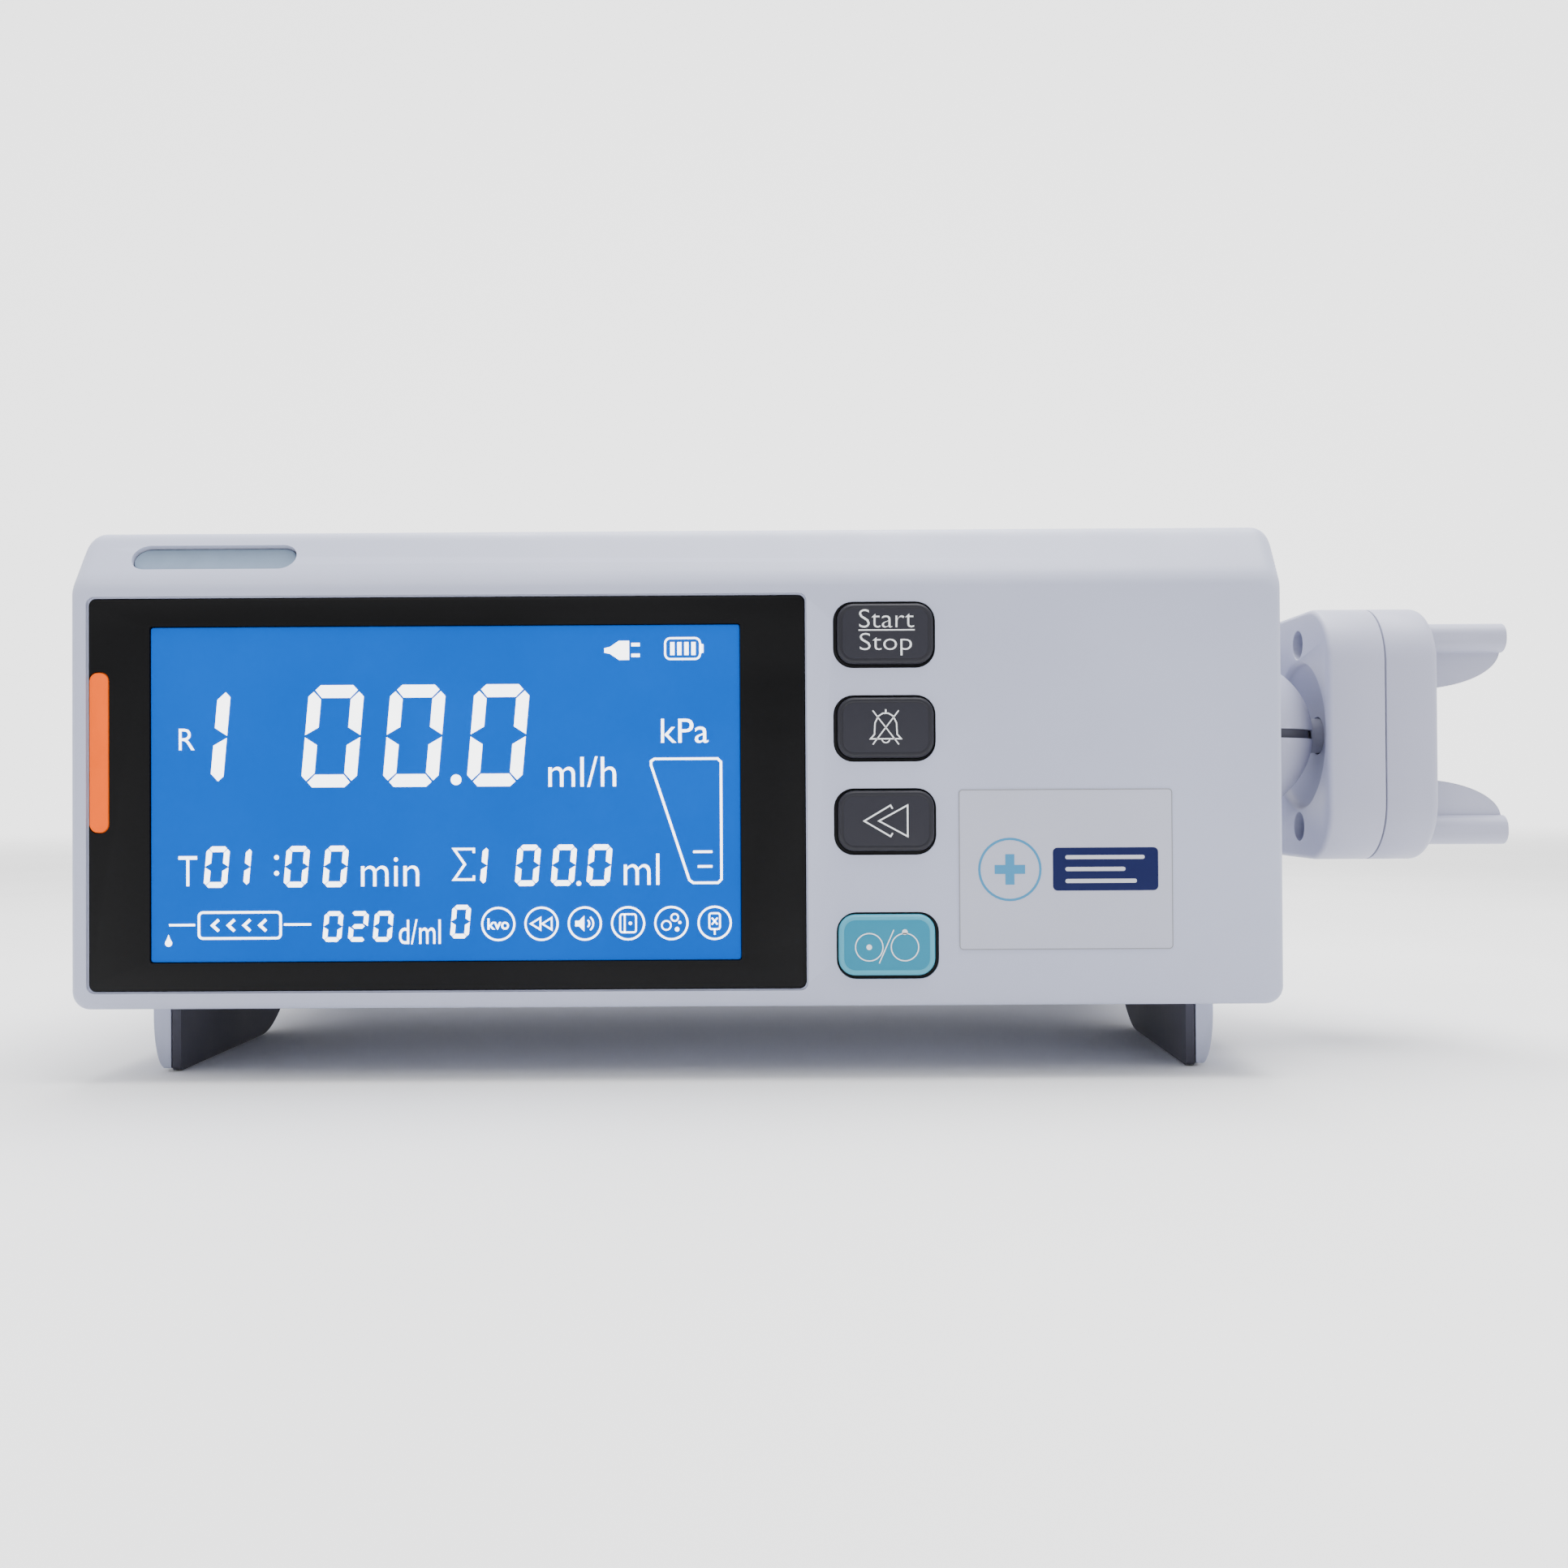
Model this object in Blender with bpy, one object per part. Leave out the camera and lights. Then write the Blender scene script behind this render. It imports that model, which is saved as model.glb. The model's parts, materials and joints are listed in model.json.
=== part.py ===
"""Infusion pump with a hinged door, a linear peristaltic drive and a swivelling pole clamp.

Lengths are in millimetres until solid() turns them into metres. X runs left to right from the housing's
middle, Y runs back from the front face, and Z runs up from the surface that the feet stand on. The empty
named pump moves this origin to the middle of the whole object's base.
"""

import math

import bmesh
import bpy
from mathutils import Matrix, Vector

MM = 0.001
GAP = 0.3

# Housing and door
BODY_W = 215.0
BODY_H = 85.8
BODY_D = 120.0
FOOT_H = 13.0
TOP = FOOT_H + BODY_H
HALF_W = BODY_W / 2
WALL = 2.4
FRONT_H = 75.8
CHAMFER_D = 6.5
CORNER_R = 3.2
FRONT_EDGE_R = 1.2
REAR_EDGE_R = 3.0
SEAM = 17.0

# Display, keys, lamp and label, in the door's face
WINDOW = (-104.3, 23.0, FOOT_H + 3.2, FOOT_H + 73.0)
WINDOW_T = 1.6
LCD = (-93.2, 11.4, FOOT_H + 8.4, FOOT_H + 67.8)
LIGHT_BAR = (-104.1, -100.6, FOOT_H + 31.4, FOOT_H + 59.9)
KEY_X = 37.2
KEY_W = 17.1
KEY_H = 10.8
KEY_R = 3.0
KEY_PROUD = 0.8
KEY_TRAVEL = 1.0
KEYS = {"key_start_stop": 65.9, "key_mute": 49.3, "key_fast": 32.8, "key_power": 10.9}
LABEL = (50.0, 87.8, FOOT_H + 9.9, FOOT_H + 38.3)
LAMP_X = -83.1
LAMP_L = 29.6
LAMP_W = 5.7

# Door hinge and latch
HINGE_X = -HALF_W + 4.0
HINGE_Y = SEAM - 4.0
HINGE_R = 3.85
LUG_R = 2.6
LUG_H = 6.0
LUG_ZS = (FOOT_H + 8.0, TOP - 8.0 - LUG_H)
HOOK_Z = FOOT_H + 6.5

# Tube channel and peristaltic drive
TUBE_Z = FOOT_H + 17.0
TUBE_W = 5.6
CHANNEL_Y = SEAM + 4.9
BEAM_Y = SEAM + 7.5
FINGERS = 8
FINGER_PITCH = 4.2
FINGER_T = 3.6
FINGER_H = 10.0
FINGER_L = 13.8
CAM_Y = 42.0
CAM_R = 5.0
CAM_THROW = 1.0
SHAFT_R = 3.0
GEAR_MODULE = 0.7
GEAR_TEETH = 36
PINION_TEETH = 12
GEAR_X = (28.0, 33.0)
MOTOR_X = 37.0
MOTOR_SIDE = 28.0
MOTOR_L = 30.0

# Pole clamp on the right-hand side
CLAMP_Y = 37.0
CLAMP_Z = FOOT_H + 48.9
HUB_R = 15.7
HUB_CENTRE_X = HALF_W + 1.9
HUB_TIP_R = 3.6
HUB_SLOT = 1.8
BLOCK_X = (123.2, 134.1, 144.4)
BLOCK_R = 11.5
BLOCK_REAR_R = 5.0
BLOCK_HALF = 24.8
BLOCK_DEEP = 17.0
DISH_R = 14.9
SCREW_Z = 18.4
SCREW_HOLE_R = 2.9
JAW_TIP_X = 162.0
JAW_OUT = 22.0
JAW_BAR = 5.8
JAW_ROOT_IN = 9.0
JAW_DEPTH = 15.0
JAW_TRAVEL = 5.0
RACK_PITCH_R = 3.2
KNOB_Y = (CLAMP_Y + BLOCK_DEEP + 2.6, CLAMP_Y + BLOCK_DEEP + 14.0)
KNOB_R = 9.0

# Feet
SKID_X = 98.2
SKID_Y = (12.0, 51.0, 67.0)
SKID_FRONT_R = 0.8
SKID_BACK_RISE = 8.5
PAD_T = 1.6
REAR_FOOT_AT = (90.0, 104.0)
REAR_FOOT_R = 6.5

# Rear fittings, and the middle of the whole object in X and Y
INLET_X = (58.0, 88.0)
INLET_Z = (FOOT_H + 40.0, FOOT_H + 62.0)
INLET_PROUD = 2.0
SOCKET_AT = (-62.0, FOOT_H + 52.0)
CENTRE_X = (JAW_TIP_X - HALF_W) / 2
CENTRE_Y = (BODY_D + INLET_PROUD - KEY_PROUD) / 2

MATERIALS = {
    "housing_plastic": ((0.70, 0.72, 0.78), 0.45, 0.0),
    "door_plastic": ((0.72, 0.74, 0.80), 0.42, 0.0),
    "clamp_plastic": ((0.70, 0.71, 0.77), 0.48, 0.0),
    "window_glass": ((0.02, 0.02, 0.022), 0.12, 0.0),
    "lcd_glass": ((0.01, 0.22, 0.66), 0.25, 0.0),
    "amber_lens": ((0.90, 0.25, 0.01), 0.35, 0.0),
    "lamp_lens": ((0.45, 0.50, 0.55), 0.30, 0.0),
    "key_dark": ((0.065, 0.065, 0.075), 0.5, 0.0),
    "key_teal": ((0.11, 0.37, 0.48), 0.45, 0.0),
    "label_film": ((0.55, 0.56, 0.60), 0.5, 0.0),
    "rubber": ((0.02, 0.02, 0.025), 0.8, 0.0),
    "black_plastic": ((0.03, 0.03, 0.03), 0.5, 0.0),
    "white_acetal": ((0.80, 0.80, 0.78), 0.4, 0.0),
    "circuit_board": ((0.02, 0.16, 0.07), 0.5, 0.0),
    "cell_wrap": ((0.03, 0.10, 0.30), 0.5, 0.0),
    "steel": ((0.60, 0.60, 0.60), 0.3, 1.0),
    "aluminium": ((0.70, 0.70, 0.71), 0.4, 1.0),
    "brass": ((0.70, 0.52, 0.22), 0.35, 1.0),
}


def clear_scene():
    for obj in list(bpy.data.objects):
        bpy.data.objects.remove(obj)


def make_materials():
    made = {}
    for name, (colour, roughness, metallic) in MATERIALS.items():
        material = bpy.data.materials.new(name)
        material.use_nodes = True
        shader = material.node_tree.nodes["Principled BSDF"]
        shader.inputs["Base Color"].default_value = (*colour, 1.0)
        shader.inputs["Roughness"].default_value = roughness
        shader.inputs["Metallic"].default_value = metallic
        made[name] = material
    return made


def make_base():
    base = bpy.data.objects.new("pump", None)
    base.location = (-CENTRE_X * MM, -CENTRE_Y * MM, 0)
    bpy.context.scene.collection.objects.link(base)
    return base


# Solids ---------------------------------------------------------------------------------------------


def solid(name, points, faces):
    """A closed mesh object from points in mm, a child of the pump empty, with its faces turned outwards."""
    mesh = bpy.data.meshes.new(name)
    work = bmesh.new()
    verts = [work.verts.new([value * MM for value in point]) for point in points]
    for face in faces:
        work.faces.new([verts[i] for i in face])
    bmesh.ops.recalc_face_normals(work, faces=work.faces)
    work.to_mesh(mesh)
    work.free()
    obj = bpy.data.objects.new(name, mesh)
    bpy.context.scene.collection.objects.link(obj)
    obj.parent = BASE
    return obj


def loft(name, rings):
    """Skins rings of equally many points and closes both ends."""
    count = len(rings[0])
    points = [point for ring in rings for point in ring]
    faces = [tuple(range(count)), tuple(range(len(points) - count, len(points)))]
    for start in range(0, len(points) - count, count):
        for i in range(count):
            j = (i + 1) % count
            faces.append((start + i, start + j, start + count + j, start + count + i))
    return solid(name, points, faces)


def across(axis, point, along):
    """The 3-D point that lies at this 2-D point of the plane across the axis."""
    a, b = point
    return {"X": (along, a, b), "Y": (a, along, b), "Z": (a, b, along)}[axis]


def prism(name, outline, axis, low, high):
    return loft(name, [[across(axis, point, along) for point in outline] for along in (low, high)])


def arc(centre, radius, start, end, steps):
    """Points from one angle to another, both in degrees and both included."""
    angles = [math.radians(start + (end - start) * i / steps) for i in range(steps + 1)]
    return [(centre[0] + radius * math.cos(t), centre[1] + radius * math.sin(t)) for t in angles]


def rounded(low_a, high_a, low_b, high_b, radius, steps=3):
    """A rectangle's outline with round corners."""
    corners = (
        (high_a - radius, high_b - radius, 0),
        (low_a + radius, high_b - radius, 90),
        (low_a + radius, low_b + radius, 180),
        (high_a - radius, low_b + radius, 270),
    )
    return [p for a, b, turn in corners for p in arc((a, b), radius, turn, turn + 90, steps)]


def box(name, x, y, z):
    return prism(name, [(x[0], y[0]), (x[1], y[0]), (x[1], y[1]), (x[0], y[1])], "Z", *z)


def circle(centre, radius, steps=20):
    return arc(centre, radius, 0, 360 - 360 / steps, steps - 1)


def rod(name, axis, centre, radius, low, high, steps=20):
    return prism(name, circle(centre, radius, steps), axis, low, high)


def turned(name, axis, centre, profile, steps=24):
    """Rings of (radius, place along the axis), closed by flat ends."""
    rings = []
    for radius, along in profile:
        rings.append([across(axis, point, along) for point in circle(centre, radius, steps)])
    return loft(name, rings)


def combine(target, operation, tools):
    for tool in tools:
        tool.hide_render = True
        tool.display_type = "WIRE"
        modifier = target.modifiers.new(tool.name, "BOOLEAN")
        modifier.operation = operation
        modifier.object = tool
    return target


def cut(target, *tools):
    return combine(target, "DIFFERENCE", tools)


def unite(target, *tools):
    return combine(target, "UNION", tools)


def soften(obj, width, segments=1):
    modifier = obj.modifiers.new("Bevel", "BEVEL")
    modifier.width = width * MM
    modifier.segments = segments
    modifier.limit_method = "ANGLE"
    return obj


def finish(obj, material, pivot=None):
    """Gives the piece its material, smooth round faces and, if it moves, an origin on its joint's axis."""
    obj.data.materials.append(PAINTS[material])
    obj.data.shade_smooth()
    obj.data.set_sharp_from_angle(angle=math.radians(35))
    if pivot:
        place = Vector(pivot) * MM
        obj.data.transform(Matrix.Translation(-place))
        obj.location = place
    return obj


# Door -----------------------------------------------------------------------------------------------


def body_ring(y, inset):
    """The housing's outline at this depth, drawn in by an inset, under the chamfered upper front edge."""
    top = min(FOOT_H + FRONT_H + (BODY_H - FRONT_H) * y / CHAMFER_D, TOP)
    outline = rounded(-HALF_W + inset, HALF_W - inset, FOOT_H + inset, top - inset, CORNER_R - 0.4 * inset)
    return [across("Y", point, y) for point in outline]


def keycap_outline(centre_z, grow):
    half_w = KEY_W / 2 + grow
    half_h = KEY_H / 2 + grow
    return rounded(KEY_X - half_w, KEY_X + half_w, centre_z - half_h, centre_z + half_h, KEY_R + grow)


def chamfer_point(up, out):
    """Y and Z of a point this far up the chamfer from its lower edge and this far out of its surface."""
    slope = math.atan2(BODY_H - FRONT_H, CHAMFER_D)
    y = up * math.cos(slope) - out * math.sin(slope)
    return y, FOOT_H + FRONT_H + up * math.sin(slope) + out * math.cos(slope)


def lamp_prism(name, grow, outer, inner):
    """A stadium set into the chamfer, between these two distances out of its surface."""
    half = LAMP_L / 2 + grow
    radius = LAMP_W / 2 + grow
    middle = math.hypot(CHAMFER_D, BODY_H - FRONT_H) / 2
    outline = rounded(-half, half, middle - radius, middle + radius, radius - 0.01, steps=6)
    return loft(name, [[(LAMP_X + a, *chamfer_point(b, out)) for a, b in outline] for out in (outer, inner)])


def hinge_knuckle(name, z, width, high):
    return box(name, (-HALF_W - 1, HINGE_X + width), (HINGE_Y - width, SEAM + 1), (z - GAP, z + high + GAP))


def make_door_shell():
    front = ((0, FRONT_EDGE_R), (0.35, 0.35), (FRONT_EDGE_R, 0), (CHAMFER_D, 0), (SEAM - 0.15, 0))
    shell = loft("door_shell", [body_ring(y, inset) for y, inset in front])
    inner = ((WALL, WALL), (CHAMFER_D + 1.2, WALL), (SEAM + 1, WALL))
    cavity = loft("door_cavity", [body_ring(y, inset) for y, inset in inner])
    cut(shell, cavity)
    for z in LUG_ZS:
        boss_z = (z - 4.0, z + LUG_H + 4.0)
        unite(shell, box(f"boss_{z}", (-HALF_W + 1, HINGE_X + 3.4), (HINGE_Y - 3.4, SEAM - 0.4), boss_z))
    cut(shell, prism("window_pocket", rounded(*grown(WINDOW, GAP), 1.2), "Y", -1, WINDOW_T + GAP))
    lcd_outline = rounded(*grown(LCD, 2.5), 1.0)
    cut(shell, prism("lcd_opening", lcd_outline, "Y", 0.5, WALL + 1))
    for name, up in KEYS.items():
        cut(shell, prism(f"{name}_hole", keycap_outline(FOOT_H + up, 0.45), "Y", -1, WALL + 1))
    cut(shell, lamp_prism("lamp_slot", 0.0, 1.0, -WALL - 1.5))
    corner = box("corner_block", (-HALF_W - 1, HINGE_X), (HINGE_Y, SEAM + 1), (FOOT_H - 1, TOP + 1))
    cut(corner, rod("corner_round", "Z", (HINGE_X, HINGE_Y), HINGE_R, FOOT_H - 2, TOP + 2, steps=48))
    cut(shell, corner)
    for z in LUG_ZS:
        cut(shell, hinge_knuckle(f"knuckle_{z}", z, 3.2, LUG_H))
        cut(shell, rod(f"pin_hole_{z}", "Z", (HINGE_X, HINGE_Y), 1.5, z - 3.0, z + LUG_H + 3.0, steps=12))
    finish(shell, "door_plastic", (HINGE_X, HINGE_Y, FOOT_H))


def grown(limits, by):
    low_a, high_a, low_b, high_b = limits
    return low_a - by, high_a + by, low_b - by, high_b + by


def make_display():
    window = prism("display_window", rounded(*WINDOW, 1.2), "Y", 0.15, WINDOW_T)
    cut(window, prism("bar_slot", rounded(*grown(LIGHT_BAR, 0.12), 1.6), "Y", -1, WINDOW_T + 1))
    finish(window, "window_glass")
    finish(prism("status_light_bar", rounded(*LIGHT_BAR, 1.5), "Y", 0.0, WINDOW_T), "amber_lens")
    module = prism("lcd_module", rounded(*LCD, 0.8), "Y", WALL, WALL + 4.0)
    finish(module, "lcd_glass")
    finish(prism("label_plate", rounded(*LABEL, 0.6), "Y", -0.25, -0.02), "label_film")
    finish(lamp_prism("alarm_lamp_lens", -0.15, -0.7, -2.4), "lamp_lens")


def make_keys():
    for name, up in KEYS.items():
        z = FOOT_H + up
        face = keycap_outline(z, -0.6)
        edge = keycap_outline(z, 0)
        depths = ((face, -KEY_PROUD), (edge, -KEY_PROUD + 0.5), (edge, WALL + 1.6))
        cap = loft(name, [[across("Y", point, y) for point in outline] for outline, y in depths])
        unite(cap, rod(f"{name}_stem", "Y", (KEY_X, z), 2.0, WALL + 1.0, WALL + 4.0, steps=12))
        finish(cap, "key_teal" if name == "key_power" else "key_dark", (KEY_X, 0, z))
    board_y = WALL + 4.2 + KEY_TRAVEL
    board = box("keypad_board", (27.0, 96.0), (board_y + 0.8, board_y + 2.4), (FOOT_H + 4.0, FOOT_H + 74.0))
    for name, up in KEYS.items():
        unite(board, box(f"{name}_switch", (KEY_X - 3, KEY_X + 3), (board_y, board_y + 1), around(up, 3.0)))
    unite(board, box("display_driver", (60.0, 78.0), (board_y - 1.0, board_y + 1), around(50.0, 7.0)))
    finish(board, "circuit_board")


def around(up, half):
    return FOOT_H + up - half, FOOT_H + up + half


def around_at(centre, half):
    return centre - half, centre + half


def make_door_back():
    lamp_board = box("alarm_lamp_board", (LAMP_X - 14, LAMP_X + 14), (7.4, 9.0), (TOP - 9.0, TOP - 3.2))
    finish(lamp_board, "circuit_board")
    cover_outline = rounded(-HALF_W + 3.0, HALF_W - WALL - GAP, FOOT_H + 2.8, TOP - 2.8, CORNER_R)
    cover = prism("door_inner_cover", cover_outline, "Y", 13.4, 16.6)
    for z in LUG_ZS:
        notch_z = (z - 4.4, z + LUG_H + 4.4)
        cut(cover, box(f"notch_{z}", (-HALF_W, HINGE_X + 4.0), (HINGE_Y - 5, SEAM + 1), notch_z))
    half = FINGERS * FINGER_PITCH / 2 + 1.5
    pocket = box("platen_pocket", (-half - GAP, half + GAP), (12.0, SEAM), (TUBE_Z - 6.8, TUBE_Z + 6.8))
    cut(cover, pocket)
    hook = box("hook_arm", (98.0, 101.0), (15.0, SEAM + 11.0), (HOOK_Z - 2.5, HOOK_Z + 2.5))
    barb = box("hook_barb", (100.5, 101.8), (SEAM + 8.0, SEAM + 11.0), (HOOK_Z - 2.5, HOOK_Z + 2.5))
    unite(cover, hook, barb)
    finish(cover, "door_plastic")
    platen = box("tube_platen", (-half, half), (12.2, 16.75), (TUBE_Z - 6.5, TUBE_Z + 6.5))
    soften(platen, 0.6)
    finish(platen, "white_acetal", (0, 16.75, TUBE_Z))
    for name, z in zip(("hinge_pin_lower", "hinge_pin_upper"), LUG_ZS):
        pin = rod(name, "Z", (HINGE_X, HINGE_Y), 1.2, z - 2.7, z + LUG_H + 2.7, steps=12)
        finish(pin, "steel")


# Housing --------------------------------------------------------------------------------------------


def make_rear_housing():
    outer = ((SEAM + 0.2, 0), (BODY_D - REAR_EDGE_R, 0), (BODY_D - 0.9, 0.9), (BODY_D, REAR_EDGE_R))
    shell = loft("rear_housing", [body_ring(y, inset) for y, inset in outer])
    inner = ((SEAM - 1, WALL), (BODY_D - WALL, WALL))
    cut(shell, loft("housing_cavity", [body_ring(y, inset) for y, inset in inner]))
    channel = box("side_notches", (-HALF_W - 1, HALF_W + 1), (SEAM - 1, CHANNEL_Y), tube_band(TUBE_W / 2))
    cut(shell, channel)
    cut(shell, rod("hub_hole", "X", (CLAMP_Y, CLAMP_Z), 9.4, HALF_W - 4, HALF_W + 1, steps=24))
    cut(shell, box("latch_slot", (HALF_W - 4, HALF_W + 1), (26.0, 37.0), (HOOK_Z - 1.6, HOOK_Z + 1.6)))
    cut(shell, box("inlet_cutout", INLET_X, (BODY_D - 4, BODY_D + 1), INLET_Z))
    cut(shell, rod("sensor_cutout", "Y", SOCKET_AT, 7.3, BODY_D - 4, BODY_D + 1, steps=20))
    for i in range(5):
        x = -82.0 + 6.0 * i
        cut(shell, box(f"speaker_slot_{i}", (x, x + 2.2), (50.0, 70.0), (FOOT_H - 1, FOOT_H + WALL + 1)))
    for i in range(7):
        x = -18.0 + 6.0 * i
        cut(shell, box(f"vent_{i}", (x, x + 2.4), (BODY_D - 4, BODY_D + 1), (TOP - 34.0, TOP - 14.0)))
    finish(shell, "housing_plastic")


def tube_band(half):
    return TUBE_Z - half, TUBE_Z + half


def make_chassis():
    plate_outline = rounded(-104.8, 104.8, FOOT_H + 2.7, TOP - 2.7, CORNER_R)
    plate = prism("chassis_plate", plate_outline, "Y", SEAM + 0.2, SEAM + 2.8)
    unite(plate, box("channel_beam", (-104.8, 104.8), (SEAM + 0.2, BEAM_Y), tube_band(7.2)))
    for z in LUG_ZS:
        neck = box(f"lug_neck_{z}", (-104.8, HINGE_X + LUG_R), (HINGE_Y, SEAM + 2.0), (z, z + LUG_H))
        unite(plate, neck, rod(f"lug_{z}", "Z", (HINGE_X, HINGE_Y), LUG_R, z, z + LUG_H, steps=16))
    cut(plate, box("tube_channel", (-106, 106), (SEAM - 1, CHANNEL_Y), tube_band(TUBE_W / 2)))
    half = FINGERS * FINGER_PITCH / 2 + 0.2
    cut(plate, box("finger_window", (-half, half), (SEAM - 1, BEAM_Y + 1), tube_band(FINGER_H / 2 + GAP)))
    cut(plate, box("bubble_window", (-63.0, -53.0), (SEAM - 1, BEAM_Y + 1), tube_band(6.5)))
    cut(plate, box("pressure_window", (-44.0, -36.0), (SEAM + 1, BEAM_Y + 1), tube_band(2.5)))
    cut(plate, box("pinch_window", (-82.3, -77.7), (SEAM + 1, BEAM_Y + 1), tube_band(2.5)))
    cut(plate, box("hook_slot", (97.0, 103.2), (SEAM - 1, SEAM + 4), (HOOK_Z - 3.0, HOOK_Z + 3.0)))
    for z in LUG_ZS:
        cut(plate, rod(f"lug_bore_{z}", "Z", (HINGE_X, HINGE_Y), 1.45, z - 1, z + LUG_H + 1, steps=12))
    finish(plate, "black_plastic")


def make_sensors():
    bubble = box("bubble_sensor", (-62.7, -53.3), (SEAM + 0.5, SEAM + 12.0), tube_band(6.2))
    cut(bubble, box("bubble_gap", (-64, -52), (SEAM - 1, CHANNEL_Y), tube_band(TUBE_W / 2)))
    finish(bubble, "black_plastic")
    pressure = box("pressure_sensor", (-43.7, -36.3), (CHANNEL_Y, BEAM_Y + 6.0), tube_band(2.2))
    finish(pressure, "steel")
    pinch = box("free_flow_clamp", (-82.0, -78.0), (CHANNEL_Y, BEAM_Y + 9.0), tube_band(2.2))
    finish(pinch, "steel", (-80.0, CHANNEL_Y, TUBE_Z))


def make_drive():
    half = FINGERS * FINGER_PITCH / 2 + 0.2
    guide = box("finger_guide", (-half - 2.5, half + 2.5), (BEAM_Y + GAP, BEAM_Y + 7.5), tube_band(9.0))
    cut(guide, box("guide_window", (-half, half), (BEAM_Y - 1, BEAM_Y + 9), tube_band(FINGER_H / 2 + GAP)))
    finish(guide, "aluminium")
    shaft = rod("camshaft", "X", (CAM_Y, TUBE_Z), SHAFT_R, -half - 8.0, GEAR_X[1] + 1.0, steps=16)
    for i in range(FINGERS):
        turn = 2 * math.pi * i / FINGERS
        x = (i - (FINGERS - 1) / 2) * FINGER_PITCH
        reach = CAM_THROW * math.cos(turn)
        centre = (CAM_Y - reach, TUBE_Z + CAM_THROW * math.sin(turn))
        cam = rod(f"cam_{i + 1}", "X", centre, CAM_R, x - FINGER_T / 2, x + FINGER_T / 2, steps=20)
        unite(shaft, cam)
        extended = CAM_THROW + reach
        tip = CHANNEL_Y - extended
        finger = box(f"finger_{i + 1}", (x - 1.8, x + 1.8), (tip, tip + FINGER_L), tube_band(FINGER_H / 2))
        soften(finger, 0.5)
        finish(finger, "white_acetal", (x, tip, TUBE_Z))
    finish(shaft, "steel", (0, CAM_Y, TUBE_Z))
    for name, x in (("bearing_block_left", -half - 7.0), ("bearing_block_right", half + 2.9)):
        block = box(name, (x, x + 4.0), (BEAM_Y + 8.0, CAM_Y + 8.0), (FOOT_H + 2.7, TUBE_Z + 8.0))
        cut(block, rod(f"{name}_bore", "X", (CAM_Y, TUBE_Z), SHAFT_R + 0.1, x - 1, x + 5, steps=16))
        finish(block, "aluminium")
    gear = prism("camshaft_gear", gear_outline(GEAR_TEETH, CAM_Y, 0.0), "X", *GEAR_X)
    cut(gear, rod("gear_bore", "X", (CAM_Y, TUBE_Z), SHAFT_R + GAP, 20, 40, steps=16))
    finish(gear, "white_acetal", (0, CAM_Y, TUBE_Z))
    pinion_y = CAM_Y + GEAR_MODULE * (GEAR_TEETH + PINION_TEETH) / 2
    pinion = prism("motor_pinion", gear_outline(PINION_TEETH, pinion_y, math.pi / PINION_TEETH), "X", *GEAR_X)
    unite(pinion, rod("motor_shaft", "X", (pinion_y, TUBE_Z), 2.0, GEAR_X[0] - 1.0, MOTOR_X - GAP, steps=12))
    finish(pinion, "brass", (0, pinion_y, TUBE_Z))
    side = MOTOR_SIDE / 2
    outline = rounded(pinion_y - side, pinion_y + side, TUBE_Z - side, TUBE_Z + side, 3.0, steps=1)
    finish(prism("stepper_motor", outline, "X", MOTOR_X, MOTOR_X + MOTOR_L), "steel")
    bracket_y = (pinion_y - side - 1, pinion_y + side + 1)
    bracket = box("motor_bracket", (MOTOR_X - 2.0, MOTOR_X - GAP), bracket_y, (FOOT_H + 2.7, TUBE_Z + side))
    cut(bracket, rod("bracket_bore", "X", (pinion_y, TUBE_Z), 3.0, MOTOR_X - 3, MOTOR_X + 1, steps=16))
    finish(bracket, "aluminium")


def gear_outline(teeth, centre_y, turn):
    """Straight-flanked teeth, a little slimmer than the gaps between them, so that the pair turns freely."""
    pitch_r = GEAR_MODULE * teeth / 2
    steps = ((-0.36, -1.15), (-0.15, 0.9), (0.15, 0.9), (0.36, -1.15))
    points = []
    for tooth in range(teeth):
        for share, rise in steps:
            angle = turn + (tooth + share * 0.8) * 2 * math.pi / teeth
            radius = pitch_r + rise * GEAR_MODULE
            points.append((centre_y + radius * math.cos(angle), TUBE_Z + radius * math.sin(angle)))
    return points


# Boards, supply and rear fittings -------------------------------------------------------------------


def make_electronics():
    board_z = FOOT_H + 37.0
    board = box("main_board", (-96.0, 96.0), (30.0, 92.0), (board_z, board_z + 1.6))
    chips = ((-60, 50, 9, 4), (-20, 60, 12, 3), (40, 48, 7, 6), (70, 75, 9, 9))
    for i, (x, y, half, tall) in enumerate(chips):
        chip_z = (board_z + 1, board_z + tall)
        unite(board, box(f"chip_{i}", (x - half, x + half), (y - half, y + half), chip_z))
    finish(board, "circuit_board")
    supply = box("power_supply", (8.0, 100.0), (78.0, 114.0), (FOOT_H + 4.0, FOOT_H + 5.6))
    unite(supply, box("transformer", (40.0, 62.0), (86.0, 106.0), (FOOT_H + 5, FOOT_H + 26.0)))
    unite(supply, rod("bulk_capacitor", "Z", (80.0, 96.0), 8.0, FOOT_H + 5, FOOT_H + 30.0, steps=16))
    finish(supply, "circuit_board")
    battery = box("battery_pack", (-100.0, -20.0), (78.0, 114.0), (FOOT_H + 3.0, FOOT_H + 25.0))
    soften(battery, 3.0, 2)
    finish(battery, "cell_wrap")
    cone = ((14.0, FOOT_H + 2.7), (14.0, FOOT_H + 5.0), (7.0, FOOT_H + 9.0))
    finish(turned("speaker", "Z", (-68.0, 60.0), cone), "black_plastic")
    make_inlet()
    make_socket()


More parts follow.
